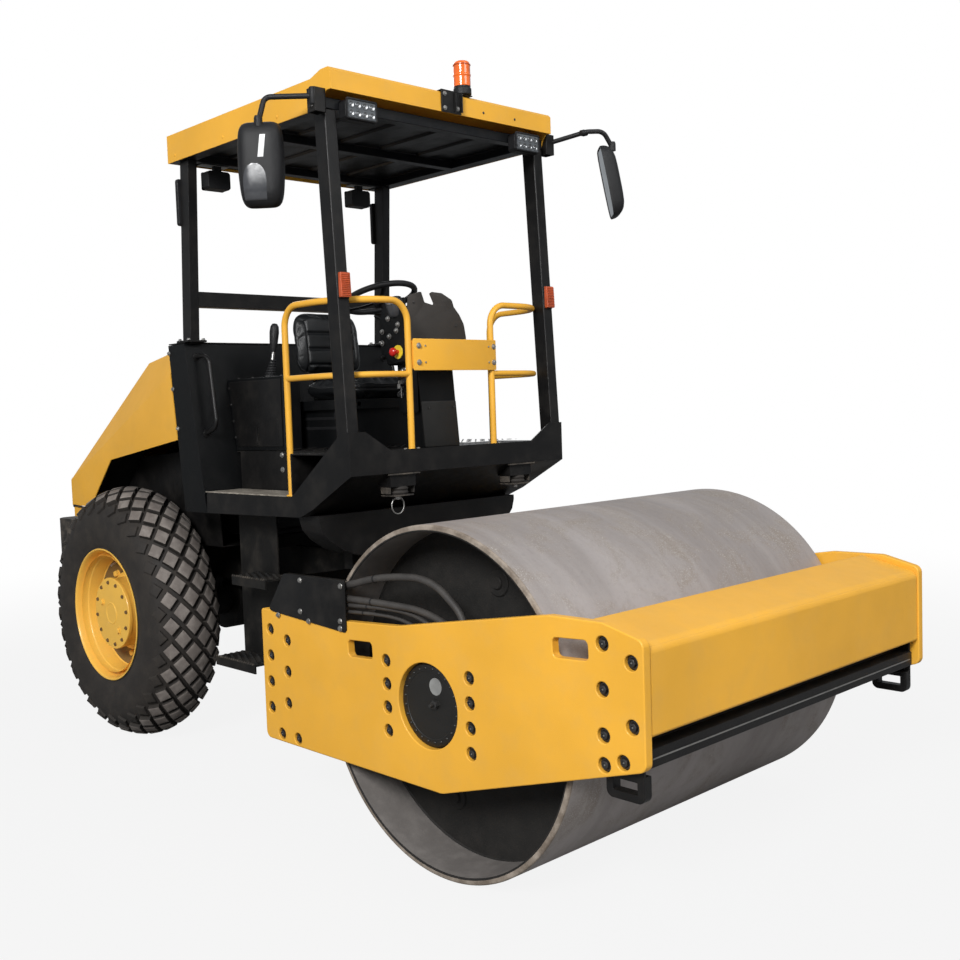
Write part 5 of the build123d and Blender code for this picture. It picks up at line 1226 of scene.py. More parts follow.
# ---------------------------------------------------------------- handrails and name plate
RAIL_X, RAIL_Y, RAIL_TOP, RAIL_MID = (0.188, 0.608), 0.624, 2.112, 1.805


def build_handrails():
    """Bent tube from the well floor round the corner to the front beam, with a lower bar on each side."""
    tubes, feet, spots = [], [], []
    back, front = RAIL_X
    for side, end in ((RIGHT, 0.294), (LEFT, 0.202)):
        y = side * RAIL_Y
        end *= side
        outer = [(back, y, 1.3005), (back, y, RAIL_TOP), (front, y, RAIL_TOP), (front, end, RAIL_TOP),
                 (front, end, 1.4785)]
        tubes.append(tube(bent(outer, [0.09, 0.23, 0.09], 14), 0.014, 20))
        tubes.append(tube(bent([(back, y, RAIL_MID), (front, y, RAIL_MID), (front, end, RAIL_MID)], 0.23, 14),
                          0.0128, 20))
        foot = pressed(rounded_box(-0.052, 0.052, -0.020, 0.020, 0.008, 3), (),
                       0.006, 0.001, 2)
        feet.append(placed(foot, facing((front, end, 1.4786), UP)))
        feet.append(lathed([(0.014, 0.006), (0.018, 0.0), (0.0, 0.0)], 20, (front, end, 1.4846)))
        spots += [((front, end + d, 1.4846), UP) for d in (-0.036, 0.036)]
        feet.append(lathed([(0.0, 0.006), (0.030, 0.006), (0.031, 0.004), (0.031, 0.0)], 24,
                           (back, y * 0.985, 1.3005)))
    piece = put_piece("handrail_tubes", merged(*tubes), "rear_frame", YELLOW, 50)
    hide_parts("handrails")
    put_piece("handrail_feet", merged(*feet), "rear_frame", YELLOW)
    spots += [((0.606, y, 1.4786), UP) for y in (-0.455, -0.395, 0.395, 0.455)]
    heads("handrail_foot_bolts", "rear_frame", spots, 0.008, 0.007, 0.011)
    plate = pressed(rounded_box(-0.281, 0.215, 1.819, 1.953, 0.004, 2), (),
                    0.005, 0.0012, 2)
    piece = put_piece("blank_name_plate", placed(plate, facing((0.6222, 0, 0), FRONT)), "rear_frame", YELLOW)
    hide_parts("name_plate")
    strap = merged(brick((0.010, 0.026, 0.118), (0.6165, -0.268, 1.886)),
                   brick((0.004, 0.030, 0.118), (0.6200, 0.203, 1.886)))
    put_piece("name_plate_straps", strap, "rear_frame", YELLOW, ease=0.001)
    heads("name_plate_bolts", "rear_frame",
          [((0.6272, y, z), FRONT) for y in (-0.252, 0.200) for z in (1.853, 1.923)],
          0.0085, 0.006, 0.0125)
    heads("name_plate_screws", "rear_frame",
          [((0.6272, y, z), FRONT) for y in (-0.215, 0.168) for z in (1.853, 1.923)],
          0.0045, 0.003, 0.0)


# ---------------------------------------------------------------- bulkhead, cabinets and floors
POST_FOOT_X, POST_FOOT_Y = -0.623, 0.597


def face_x(z):
    """The bulkhead's front face leans back: x goes from -0.478 at its foot to -0.612 at its top."""
    return -0.478 - 0.134 * (z - 1.2) / 0.808


def build_bulkhead_trim():
    """Grab bars, side bolts, top flange and filler cap."""
    bars, roses = [], []
    for side in SIDES:
        y = side * 0.590
        high_z, low_z = 1.945, 1.575
        line = [(face_x(high_z), y, high_z), (face_x(high_z) + 0.082, y + side * -0.018, high_z + 0.006),
                (face_x(low_z) + 0.082, y + side * -0.010, low_z + 0.030), (face_x(low_z), y, low_z)]
        bars.append(tube(bent(line, [0.05, 0.05], 10), 0.0105, 16))
        for z in (high_z, low_z):
            roses.append(lathed([(0, 0.008), (0.018, 0.007), (0.020, 0.004), (0.020, 0.0)], 20,
                                (face_x(z) - 0.001, y, z), FRONT))
    put_piece("grab_bars", merged(*bars), "rear_frame", BLACK, 50)
    put_piece("grab_bar_roses", merged(*roses), "rear_frame", BLACK)
    spots = [((x, side * 0.6462, z), (0, side, 0)) for side in SIDES
             for x, z in ((-0.757, 1.970), (-0.737, 1.796), (-0.708, 1.603))]
    heads("bulkhead_side_bolts", "rear_frame", spots, 0.008, 0.006, 0.011)
    flange = brick((0.155, 1.288, 0.006), (-0.6845, 0, 2.0135))
    put_piece("bulkhead_top_flange", merged(flange), "rear_frame", BLACK, ease=0.002)
    plates = [brick((0.105, 0.105, 0.010), (POST_FOOT_X, side * POST_FOOT_Y, 2.020)) for side in SIDES]
    put_piece("post_feet", merged(*plates), "rear_frame", BLACK, ease=0.002)
    heads("post_foot_bolts", "rear_frame",
          [((POST_FOOT_X + a * 0.040, side * POST_FOOT_Y + b * 0.040, 2.025), UP)
          for side in SIDES for a in (-1, 1) for b in (-1, 1)], 0.008, 0.007, 0.011)
    cap = turned([(0.0, 0.036), (0.034, 0.036), (0.038, 0.032), (0.038, 0.014), (0.030, 0.010), (0.030, 0.0)],
                 32)
    put_piece("filler_cap", placed(cap, facing((-0.700, 0.42, 2.016))), "rear_frame", PLASTIC)


def build_cabinet_trim():
    """Doors with their folded edges, row of screws along the leaning edge, latch and hinge bolts."""
    doors, latches, spots, small = [], [], [], []
    for side in SIDES:
        out = (0, side, 0)
        outline = [(face_x(1.505) + 0.020, 1.505), (-0.130, 1.505), (-0.130, 1.820),
                   (face_x(1.820) + 0.020, 1.820)]
        flat = [(side * -x, z) for x, z in outline]
        if side == LEFT:
            flat = flat[::-1]
        doors.append(placed(pressed(rounded(flat, 0.006, 3), (), 0.0035, 0.0012, 2),
                            facing((0, side * 0.4352, 0), out)))
        latches += [brick((0.020, 0.003, 0.100), (-0.330, side * 0.4395, 1.560)),
                    brick((0.012, 0.008, 0.080), (-0.330, side * 0.4420, 1.560)),
                    brick((0.110, 0.002, 0.120), (-0.215, side * 0.4392, 1.575))]
        small += [((face_x(z) + 0.011, side * 0.4353, z), out) for z in np.linspace(1.55, 1.79, 4)]
        spots += [((-0.142, side * 0.4353, z), out) for z in (1.466, 1.398)]
        small += [((x, side * 0.42, 1.8336), UP) for x in (-0.50, -0.38, -0.26, -0.14)]
    put_piece("cabinet_doors", merged(*doors), "rear_frame", BLACK)
    put_piece("cabinet_latches", merged(*latches), "rear_frame", BLACK, ease=0.0012)
    heads("cabinet_screws", "rear_frame", small, 0.0042, 0.003, 0.006, BOLT_BLACK)
    heads("riser_bolts", "rear_frame", spots, 0.009, 0.006, 0.013)
    lever, grip = [], []
    lever.append(tube([(-0.345, -0.345, 1.833), (-0.340, -0.320, 1.960)], 0.008, 12))
    for k in range(7):
        r = 0.026 - 0.0022 * k
        grip.append(lathed([(0, 0.0), (r, 0.0), (r + 0.003, 0.006), (r, 0.012), (0, 0.012)], 20,
                           (-0.345 + 0.0007 * k, -0.345 + 0.0035 * k, 1.834 + 0.012 * k)))
    knob = turned([(0, 0.138), (0.012, 0.135), (0.020, 0.122), (0.023, 0.095), (0.020, 0.045), (0.014, 0.012),
                   (0.010, 0.0), (0, 0.0)], 24)
    grip.append(placed(knob, facing((-0.341, -0.322, 1.955), (0.03, 0.10, 1))))
    put_piece("side_lever", merged(*lever), "rear_frame", ZINC, 50)
    put_piece("side_lever_boot", merged(*grip), "rear_frame", PLASTIC, 50)


def build_floors():
    """Worn sheets in the wells, raised tread on the main floor and the steps."""
    sheets, lips = [], []
    for side in SIDES:
        sheets.append(brick((0.655, 0.182, 0.0018), (-0.150, side * 0.540, 1.3010)))
        lips.append(brick((0.660, 0.008, 0.006), (-0.152, side * 0.6425, 1.3010)))
    put_piece("well_floor_sheets", merged(*sheets), "rear_frame", WORN_FLOOR)
    put_piece("well_floor_lips", merged(*lips), "rear_frame", WORN_FLOOR, ease=0.001)
    bar = turned([(0.0, 0.0014), (0.010, 0.0011), (0.014, 0.0)], 8)
    bar = (bar[0] * (1, 0.32, 1), bar[1])
    spots = []
    for i, x in enumerate(np.arange(-0.09, 0.42, 0.046)):
        for j, y in enumerate(np.arange(-0.552, 0.56, 0.046)):
            spots.append(facing((x, y, 1.4942), turn=45.0 if (i + j) % 2 else -45.0))
    put_piece("floor_tread", copies(bar, spots), "rear_frame", BLACK)
    tooth = turned([(0.0075, 0.006), (0.009, 0.0), (0.006, 0.0)], 8)
    spots, edge = [], []
    for side in SIDES:
        for x0, x1, z in ((-0.290, -0.020, 0.915), (-0.460, -0.130, 0.515)):
            for i, x in enumerate(np.arange(x0 + 0.02, x1 - 0.01, 0.032)):
                for y in np.arange(0.510, 0.630, 0.032):
                    spots.append(facing((x, side * (y + (0.016 if i % 2 else 0.0)), z)))
            for x in np.arange(x0 + 0.006, x1 - 0.004, 0.018):
                edge.append(facing((x, side * 0.643, z)))
    put_piece("step_tread", copies(tooth, spots), "rear_frame", FRAME_BLACK)
    notch = (np.array([(-0.006, -0.003, 0), (0.006, -0.003, 0), (0, -0.003, 0.008), (-0.006, 0.003, 0),
                       (0.006, 0.003, 0), (0, 0.003, 0.008)]),
             [[0, 1, 2], [5, 4, 3], [0, 3, 4, 1], [1, 4, 5, 2], [2, 5, 3, 0]])
    put_piece("step_teeth", copies(notch, edge), "rear_frame", DUSTY)


# ---------------------------------------------------------------- console and controls
CONSOLE_X = 0.5355
CONSOLE_HEAD = [           # y, z, corner radius of the sheet in front of the controls
    (-0.176, 1.835, 0.008), (0.033, 1.835, 0.008), (0.100, 1.846, 0.03), (0.121, 1.966, 0.06),
    (0.109, 2.029, 0.05), (0.082, 2.071, 0.03), (0.050, 2.104, 0.008), (0.040, 2.134, 0.02),
    (-0.021, 2.162, 0.03), (-0.078, 2.1645, 0.006), (-0.093, 2.158, 0.004), (-0.066, 2.106, 0.006),
    (-0.125, 2.118, 0.008), (-0.142, 2.162, 0.005), (-0.154, 2.162, 0.006), (-0.219, 2.144, 0.02),
    (-0.236, 1.990, 0.06), (-0.215, 1.850, 0.03),
]
CONSOLE_FOOT = [(-0.149, 1.4845), (0.064, 1.4845), (0.033, 1.862), (-0.178, 1.862)]
CONSOLE_COVER = [(-0.148, 1.488), (0.061, 1.488), (0.044, 1.688), (-0.164, 1.688)]
HEAD_BOX = [(-0.212, 1.852), (0.102, 1.852), (0.112, 1.970), (0.078, 2.050), (0.030, 2.088), (-0.060, 2.094),
            (-0.228, 2.102), (-0.231, 1.990)]
HEAD_SIDE = [(0.362, 1.905), (0.358, 2.045), (0.378, 2.098), (0.430, 2.122), (0.532, 2.139), (0.532, 1.866),
             (0.446, 1.858)]
HEAD_SIDE_Y, FOOT_SIDE_Y, HEAD_LOW = -0.2365, -0.180, 1.858
WHEEL_HUB, COLUMN_FOOT = (0.170, -0.070, 2.1735), (0.372, -0.060, 1.925)
WHEEL_R, WHEEL_GRIP_R, WHEEL_TILT = 0.165, 0.0138, -18.0      # tilt in degrees
HEAD_SCREWS = [(0.417, 2.053), (0.482, 2.023), (0.470, 1.998), (0.423, 1.976), (0.374, 1.949), (0.376, 1.999)]


def extruded(outline, x0, x1):
    """Prism along X under an outline given as y, z."""
    n = len(outline)
    points = np.array([(x, y, z) for x in (x0, x1) for y, z in outline])
    return points, grid_faces(2, n, wrap_columns=True) + [list(range(n)), list(range(n, 2 * n))]


def build_console():
    """Notched sheet on its foot, the box behind it and the side plate that carries the stop button."""
    outline = rounded([(y, z) for y, z, _ in CONSOLE_HEAD], [r for _, _, r in CONSOLE_HEAD], 5)
    sheet = placed(pressed(outline, (), 0.006, 0.0014, 2), facing((CONSOLE_X - 0.006, 0, 0), FRONT))
    piece = put_piece("console_sheet", sheet, "rear_frame", CONSOLE_GREY)
    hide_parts("console")
    # The foot, the box behind the sheet and the side plate take the darker black of painted shade.
    foot = extruded(CONSOLE_FOOT, 0.402, CONSOLE_X - 0.005)
    put_piece("console_foot", foot, "rear_frame", BLACK_PAINTED_SHADE, ease=0.005)
    cover = placed(pressed(rounded(CONSOLE_COVER, 0.006, 3), (), 0.003, 0.001, 2),
                   facing((CONSOLE_X - 0.005, 0, 0), FRONT))
    put_piece("console_cover", cover, "rear_frame", COVER_BLACK)
    put_piece("console_box", extruded(HEAD_BOX, 0.366, CONSOLE_X - 0.006), "rear_frame", BLACK_PAINTED_SHADE,
              ease=0.010)
    side = pressed(rounded(HEAD_SIDE, 0.012, 4), (), 0.005, 0.0012, 2)
    put_piece("console_side", placed(side, facing((0, HEAD_SIDE_Y + 0.005, 0), (0, -1, 0))), "rear_frame",
              BLACK_PAINTED_SHADE)


def side_spot(x, z, lift=0.0):
    """Place on the console's right side: the head's plate, or the narrower foot below it."""
    return (x, (HEAD_SIDE_Y if z > HEAD_LOW else FOOT_SIDE_Y) - lift, z), (0, -1, 0)


def build_controls():
    """Gauge, stop button, knobs and key switch on the console's right side; wheel and column."""
    sheet = pressed(rounded_box(0.404, 0.530, 1.640, 1.862, 0.010, 4), (),
                    0.003, 0.001, 2)
    # The side panel takes the darker black of painted shade.
    put_piece("side_panel", placed(sheet, facing((0, FOOT_SIDE_Y + 0.002, 0), (0, -1, 0))), "rear_frame",
              BLACK_PAINTED_SHADE)
    spot, out = side_spot(0.478, 1.905, 0.0005)
    put_piece("stop_disc", lathed([(0, 0.004), (0.029, 0.004), (0.030, 0.003), (0.030, 0)], 36, spot, out),
              "rear_frame", STOP_YELLOW)
    red = turned([(0, 0.044), (0.012, 0.043), (0.0175, 0.038), (0.019, 0.030), (0.0175, 0.024),
                  (0.010, 0.022), (0.010, 0.004), (0, 0.004)], 28)
    put_piece("stop_button", placed(red, facing(spot, out)), "rear_frame", RED, 50)
    dark = turned([(0, 0.020), (0.010, 0.020), (0.012, 0.018), (0.013, 0.006), (0.017, 0.004), (0.017, 0)],
                  20)
    pale = turned([(0, 0.012), (0.0065, 0.011), (0.009, 0.008), (0.009, 0.003), (0.0125, 0.002), (0.0125, 0)],
                  16)
    knobs = [facing(*side_spot(x, z)) for x, z in ((0.452, 1.776), (0.425, 1.757), (0.426, 1.722))]
    put_piece("switch_bodies", copies(dark, knobs), "rear_frame", PLASTIC, 40)
    small = [facing(*side_spot(x, z)) for x, z in HEAD_SCREWS + [(0.440, 1.826), (0.462, 1.833)]]
    put_piece("switch_caps", copies(pale, small), "rear_frame", ZINC, 50)
    spot, out = side_spot(0.452, 1.776, 0.020)
    key = merged(brick((0.003, 0.014, 0.022), (0, 0, 0.010)),
                 brick((0.016, 0.020, 0.003), (0.004, -0.018, 0.022)),
                 brick((0.004, 0.050, 0.003), (0.012, -0.045, 0.016)))
    put_piece("key", placed(key, facing(spot, out)), "rear_frame", ZINC, ease=0.0006)
    pod = turned([(0, 0.072), (0.028, 0.072), (0.034, 0.066), (0.036, 0.052), (0.036, 0.010), (0.030, 0.0),
                  (0, 0)], 36)
    at = facing((0.456, -0.222, 2.068), (0.16, -0.36, 0.90))
    put_piece("gauge_pods", placed(pod, at), "rear_frame", GREY_GLOSS_AND_SHEEN, 40)
    rim = turned([(0.036, 0.058), (0.0385, 0.060), (0.0385, 0.070), (0.036, 0.073), (0.032, 0.0735)], 36)
    put_piece("gauge_rims", placed(rim, at), "rear_frame", CHROME, 40)
    spots = [((CONSOLE_X, y, z), FRONT)
             for y, z in ((-0.190, 2.115), (-0.120, 1.660), (0.028, 1.660), (0.060, 2.020))]
    heads("console_screws", "rear_frame", spots, 0.005, 0.003, 0.0, BOLT_BLACK)
    hub = np.array(WHEEL_HUB)
    tilt = math.radians(WHEEL_TILT)
    axis = np.array((math.sin(tilt), 0, math.cos(tilt)))
    place = facing(hub, axis, (0, 1, 0))
    t = np.linspace(0, TAU, 96, endpoint=False)
    ring = np.stack([WHEEL_R * np.cos(t), WHEEL_R * np.sin(t), 0 * t], -1)
    wheel = [tube(ring, WHEEL_GRIP_R, 16, loop=True)]
    wheel.append(turned([(0, -0.002), (0.020, -0.003), (0.030, -0.008), (0.034, -0.014), (0.034, -0.038),
                         (0.0, -0.040)], 36))
    for turn in (90, 210, 330):
        c, t = math.cos(math.radians(turn)), math.sin(math.radians(turn))
        line = smooth_path([(r * c, r * t, z) for r, z in ((0.020, -0.016), (0.09, -0.013), (0.157, -0.003))],
                           5)
        bar = np.array([(-0.013, 0), (-0.009, 0.004), (0.009, 0.004), (0.013, 0), (0.009, -0.004),
                        (-0.009, -0.004)])
        wheel.append(carried(bar, line, up=(0, 0, 1)))
    foot = np.array(COLUMN_FOOT)
    along = (hub - foot) / np.linalg.norm(hub - foot)
    column = tube([foot, hub - along * 0.090, hub - along * 0.085, hub - along * 0.020], 0.024, 24,
                  size=[1.0, 1.0, 0.85, 0.85])
    piece = put_piece("steering_wheel_ring", merged(*[placed(one, place) for one in wheel]), "rear_frame",
                      PLASTIC, 50)
    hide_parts("steering_wheel")
    put_piece("steering_column", column, "rear_frame", PLASTIC, 50)
    stalk = tube(bent([foot + along * 0.16, foot + along * 0.16 + (0, -0.10, 0.02),
                       foot + along * 0.16 + (0, -0.125, 0.03)],
                      0.01), 0.005, 10)
    put_piece("column_stalk", stalk, "rear_frame", PLASTIC, 50)


# ---------------------------------------------------------------- seat
SEAT_MID_Y = -0.089
SEAT_BACK_SHIFT = (-0.010, -0.014, 0.004)      # from the middle of the node


def superellipsoid(half, powers, steps=(64, 40)):
    """Closed rounded box: |x/a|^m + |y/b|^m = 1 in plan, its radius falling with height by power n."""
    a, b, c = half
    m, n = powers
    t = np.linspace(0, TAU, steps[0], endpoint=False)
    p = np.linspace(-math.pi / 2, math.pi / 2, steps[1] + 1)[1:-1][:, None]
    wide, rise = np.cos(p) ** (2 / n), np.sign(np.sin(p)) * abs(np.sin(p)) ** (2 / n)
    x = a * np.sign(np.cos(t)) * abs(np.cos(t)) ** (2 / m) * wide
    y = b * np.sign(np.sin(t)) * abs(np.sin(t)) ** (2 / m) * wide
    points = np.stack([x, y, c * rise + 0 * x], -1)
    rows = points.shape[0]
    points = np.vstack([points.reshape(-1, 3), (0, 0, -c), (0, 0, c)])
    faces = grid_faces(rows, steps[0], wrap_columns=True)
    last = rows * steps[0]
    faces += [[(k + 1) % steps[0], k, last] for k in range(steps[0])]
    top = (rows - 1) * steps[0]
    faces += [[top + k, top + (k + 1) % steps[0], last + 1] for k in range(steps[0])]
    return points, faces


def settled(piece):
    """The piece's mesh with its modifiers worked into it, and its points as an array."""
    found = piece.evaluated_get(bpy.context.evaluated_depsgraph_get())
    mesh = bpy.data.meshes.new_from_object(found)
    points = np.empty(3 * len(mesh.vertices))
    mesh.vertices.foreach_get("co", points)
    return mesh, points.reshape(-1, 3)


def stuffed(name, shape, material, cap, voxel=0.006, frames=20):
    """Cover swollen from inside, each point kept within cap of its start; then one subdivision."""
    piece = put_piece(name, shape, "rear_frame", material, 60)
    cells = piece.modifiers.new("even_cells", "REMESH")
    cells.mode = "VOXEL"
    cells.voxel_size = voxel
    mesh, start = settled(piece)
    piece.modifiers.clear()
    piece.data = mesh
    scene = bpy.context.scene
    filling = piece.modifiers.new("filling", "CLOTH")
    filling.settings.use_pressure = True
    filling.settings.uniform_pressure_force = 4.0
    filling.settings.effector_weights.gravity = 0.0
    filling.settings.quality = 4
    for number in range(1, frames + 1):
        scene.frame_set(number)
    _, swollen = settled(piece)
    piece.modifiers.clear()
    scene.frame_set(1)
    move = swollen - start
    far = np.linalg.norm(move, axis=1)[:, None]
    points = start + move * np.minimum(1.0, cap / np.maximum(far, 1e-9))
    mesh.vertices.foreach_set("co", points.ravel())
    mesh.update()
    finer = piece.modifiers.new("finer", "SUBSURF")
    finer.levels = finer.render_levels = 1
    mesh, points = settled(piece)
    piece.modifiers.clear()
    piece.data = mesh
    return piece, mesh, points


def groove(points, along, where, inside, normal, out, depth, width):
    """Sewn channel: points near the line sink along out by depth exp(-(d / width)^2)."""
    d = abs(points[:, along] - where)
    share = np.exp(-(d / width) ** 2) * inside * (normal @ np.array(out) > 0.25)
    return -np.outer(depth * share, out)


def normals(mesh):
    n = np.empty(3 * len(mesh.vertices))
    mesh.vertices.foreach_get("normal", n)
    return n.reshape(-1, 3)


def piping(name, mesh, line, out, radius=0.0028):
    """Welt laid on the cover where the line meets it, seen along out."""
    tree = BVHTree.FromPolygons([v.co for v in mesh.vertices], [tuple(f.vertices) for f in mesh.polygons])
    out = Vector(out)
    path = []
    for p in line:
        spot = tree.ray_cast(Vector(p) + out * 0.3, -out)[0]
        if spot is not None:
            path.append(np.array(spot + out * 0.0006))
    put_piece(name, tube(np.array(path), radius, 8, loop=True), "rear_frame", THREAD, 60)


def reshape(mesh, points):
    mesh.vertices.foreach_set("co", points.ravel())
    mesh.update()
    finish_mesh(mesh, 80)


def build_seat():
    """Padded cushion and back: swollen covers, then channels sewn in and welts laid round the panels."""
    c_low, c_high = low("seat_cushion"), high("seat_cushion")
    centre = (c_low + c_high) / 2
    points, faces = superellipsoid((0.206, 0.216, 0.037), (6.0, 3.2))
    points[:, 2] += 0.006 * (points[:, 0] / 0.2) ** 2 * (points[:, 2] > 0)
    cushion, mesh, points = stuffed("seat_cushion_pad", (points + centre + (0.002, 0, -0.002), faces), VINYL,
                                    0.016)
    n = normals(mesh)
    flat = points - centre
    panel = abs(flat[:, 1]) < 0.145
    moved = points.copy()
    for x in (-0.105, -0.020, 0.065, 0.150):
        moved += groove(flat, 0, x, panel, n, (0, 0, 1), 0.0075, 0.0065)
    for y in (-0.150, 0.150):
        moved += groove(flat, 1, y, abs(flat[:, 0]) < 0.185, n, (0, 0, 1), 0.0080, 0.0060)
    moved += groove(flat, 2, -0.004, True, n, (1, 0, 0), 0.0050, 0.0045)
    moved[:, 2] = np.clip(moved[:, 2], c_low[2] + 0.0005, c_high[2] + 0.004)
    reshape(mesh, moved)
    t = np.linspace(0, TAU, 120, endpoint=False)
    loop = [(centre[0] + 0.002 + 0.188 * np.sign(math.cos(a)) * abs(math.cos(a)) ** 0.34,
             centre[1] + 0.200 * np.sign(math.sin(a)) * abs(math.sin(a)) ** 0.34, centre[2]) for a in t]
    piping("seat_cushion_welt", mesh, loop, (0, 0, 1))
    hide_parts("seat_cushion")

    b_low, b_high = low("seat_back"), high("seat_back")
    centre = (b_low + b_high) / 2 + SEAT_BACK_SHIFT
    points, faces = superellipsoid((0.155, 0.200, 0.030), (5.0, 2.8))
    points = points[:, [2, 1, 0]]
    v = points[:, 2] / 0.155
    points[:, 1] *= 1 - 0.05 * np.clip(v, 0, 1) ** 2
    points[:, 0] = points[:, 0] * (1.05 - 0.18 * v) - 0.014 * v + 0.002
    side_roll = np.clip((abs(points[:, 1]) - 0.135) / 0.05, 0, 1) * np.clip(1.2 - abs(v), 0, 1)
    points[:, 0] += 0.008 * side_roll * (points[:, 0] > -0.01)
    back, mesh, points = stuffed("seat_back_pad", (points + centre, faces), VINYL, 0.013)
    n = normals(mesh)
    flat = points - centre
    panel = (abs(flat[:, 1]) < 0.135) & (flat[:, 2] < 0.06)
    moved = points.copy()
    for z in (0.045, -0.030, -0.105):
        moved += groove(flat, 2, z, panel, n, (1, 0, 0), 0.0080, 0.0070)
    for y in (-0.140, 0.140):
        moved += groove(flat, 1, y, (flat[:, 2] < 0.105), n, (1, 0, 0), 0.0075, 0.0060)
    moved[:, 0] = np.clip(moved[:, 0], b_low[0] - 0.002, b_high[0] + 0.004)
    moved[:, 2] = np.clip(moved[:, 2], b_low[2] + 0.001, b_high[2] + 0.004)
    reshape(mesh, moved)
    loop = [(centre[0],
             centre[1] + 0.190 * np.sign(math.cos(a)) * abs(math.cos(a)) ** 0.4
             * (1 - 0.03 * max(0, math.sin(a))),
             centre[2] + 0.146 * np.sign(math.sin(a)) * abs(math.sin(a)) ** 0.4) for a in t]
    piping("seat_back_welt", mesh, loop, (1, 0, 0))
    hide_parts("seat_back")
    folds = []
    for k, z in enumerate(np.linspace(1.560, 1.650, 5)):
        r = 0.012 if k % 2 else 0.004
        folds.append(brick((0.330 + r, 0.370 + r, 0.020), (0.0, SEAT_MID_Y, z)))
    put_piece("seat_bellows", merged(*folds), "rear_frame", PLASTIC, ease=0.006)
    rails = [brick((0.36, 0.022, 0.022), (0.03, SEAT_MID_Y + d, 1.690)) for d in (-0.160, 0.160)]
    put_piece("seat_rails", merged(*rails), "rear_frame", ZINC, ease=0.002)
    knob = turned([(0, 0.034), (0.018, 0.032), (0.024, 0.026), (0.026, 0.012), (0.022, 0.0), (0, 0)], 24)
    put_piece("seat_knob", placed(knob, facing((0.150, SEAT_MID_Y - 0.215, 1.640), (0, -1, 0))), "rear_frame",
              PLASTIC)


# ---------------------------------------------------------------- hoses and guard
HOSE_START_BACK, HOSE_MID_BACK, HOSE_IN_Y = 0.700, 0.480, -0.824
HOSE_RUNS = [              # radius, start y, start z; from the axle: crest x, crest height, end x
    (0.0135, -0.874, 0.985, -0.035, 0.434, 0.135), (0.0130, -0.876, 0.945, -0.080, 0.315, 0.120),
    (0.0085, -0.874, 0.917, -0.150, 0.300, 0.020), (0.0070, -0.875, 0.893, -0.210, 0.272, -0.040),
]


def build_hoses():
    """Hoses from behind the guard, over the plate and down to the bearing housing; fittings and ties."""
    runs, fittings, ties = [], [], []
    start_x, mid_x, in_y = DRUM_X - HOSE_START_BACK, DRUM_X - HOSE_MID_BACK, HOSE_IN_Y
    foot = high("drum_carrier_right")[2]
    for radius, y, z, crest_x, crest_up, end_x in HOSE_RUNS:
        crest, end, crest_z = DRUM_X + crest_x, DRUM_X + end_x, DRUM_R + crest_up
        points = [(start_x, y, z), (mid_x, y - 0.001, z + 0.012),
                  ((mid_x + crest) / 2, (y + in_y) / 2 - 0.008,
                   (z + crest_z) / 2 + 0.012 + 0.25 * (crest_z - z)),
                  (crest, in_y + 0.004, crest_z), (end, in_y, (crest_z + foot) / 2 + 0.010),
                  (end, in_y, foot)]
        steps = np.diff(np.array(points), axis=0)
        length = np.linalg.norm(steps, axis=1)
        cosine = (steps[1:] * steps[:-1]).sum(1) / (length[1:] * length[:-1])
        radii = list(0.45 * np.minimum(length[1:],
                                       length[:-1]) / np.tan(np.arccos(np.clip(cosine, -1, 1)) / 2))
        line = bent(points, radii, 14)
        runs.append(tube(line, radius, 20))
        cuff = [(0, -0.002), (radius * 1.5, 0.0), (radius * 1.5, 0.014), (radius * 1.28, 0.016),
                (radius * 1.28, 0.050), (radius * 1.02, 0.053)]
        fittings.append(lathed(cuff, 6, (end, in_y, foot)))
        fittings.append(lathed([(radius * 1.36, 0.012), (radius * 1.36, 0.048), (radius * 1.05, 0.052)], 24,
                               (end, in_y, foot)))
        share = len(line) // 3
        ahead = line[share + 1] - line[share]
        ties.append(lathed([(radius + 0.001, -0.003), (radius + 0.0018, -0.0025), (radius + 0.0018, 0.0025),
                            (radius + 0.001, 0.003)], 20, line[share], ahead))
    piece = put_piece("hose_runs", merged(*runs), "drum_frame", HOSE, 60)
    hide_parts("drum_hoses")
    put_piece("hose_fittings", merged(*fittings), "drum_frame", BOLT_BLACK)
    put_piece("hose_ties", merged(*ties), "drum_frame", PLASTIC)
    outline = [(0.379, 0.868), (0.495, 1.024), (0.886, 1.028), (0.886, 0.831), (0.415, 0.862)]
    sheet = pressed(rounded(outline, [0.012, 0.022, 0.010, 0.016, 0.008], 4), (), 0.006, 0.0016, 2)
    piece = put_piece("guard_sheet", placed(sheet, facing((0, -0.8952, 0), (0, -1, 0))), "drum_frame", BLACK)
    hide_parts("hose_guard")
    fold = carried([(-0.010, -0.0015), (0.010, -0.0015), (0.010, 0.0015), (-0.010, 0.0015)],
                   [(0.505, -0.887, 1.0225), (0.876, -0.887, 1.0265)], up=(0, 0, 1))
    put_piece("guard_fold", fold, "drum_frame", BLACK, ease=0.001)
    heads("guard_bolts", "drum_frame", [((x, -0.9012, z), (0, -1, 0)) for x, z in
          ((0.607, 1.006), (0.863, 1.006), (0.448, 0.852), (0.601, 0.883), (0.653, 0.850), (0.854, 0.873),
           (0.852, 0.845))], 0.0085, 0.005, 0.011)


# ---------------------------------------------------------------- frames, hood and underside
SCRAPER_GLINT_STRIP = (2.2205, 0.612)     # x, z of the pale strip that paints the scraper edge's highlight
SCRAPER_BOLT_X, SCRAPER_BOLT_Z = 2.10, 0.684
MOUNT_AT = (0.580, 0.360, 1.335)   # front rubber mounts: x, y to each side, top of the pad


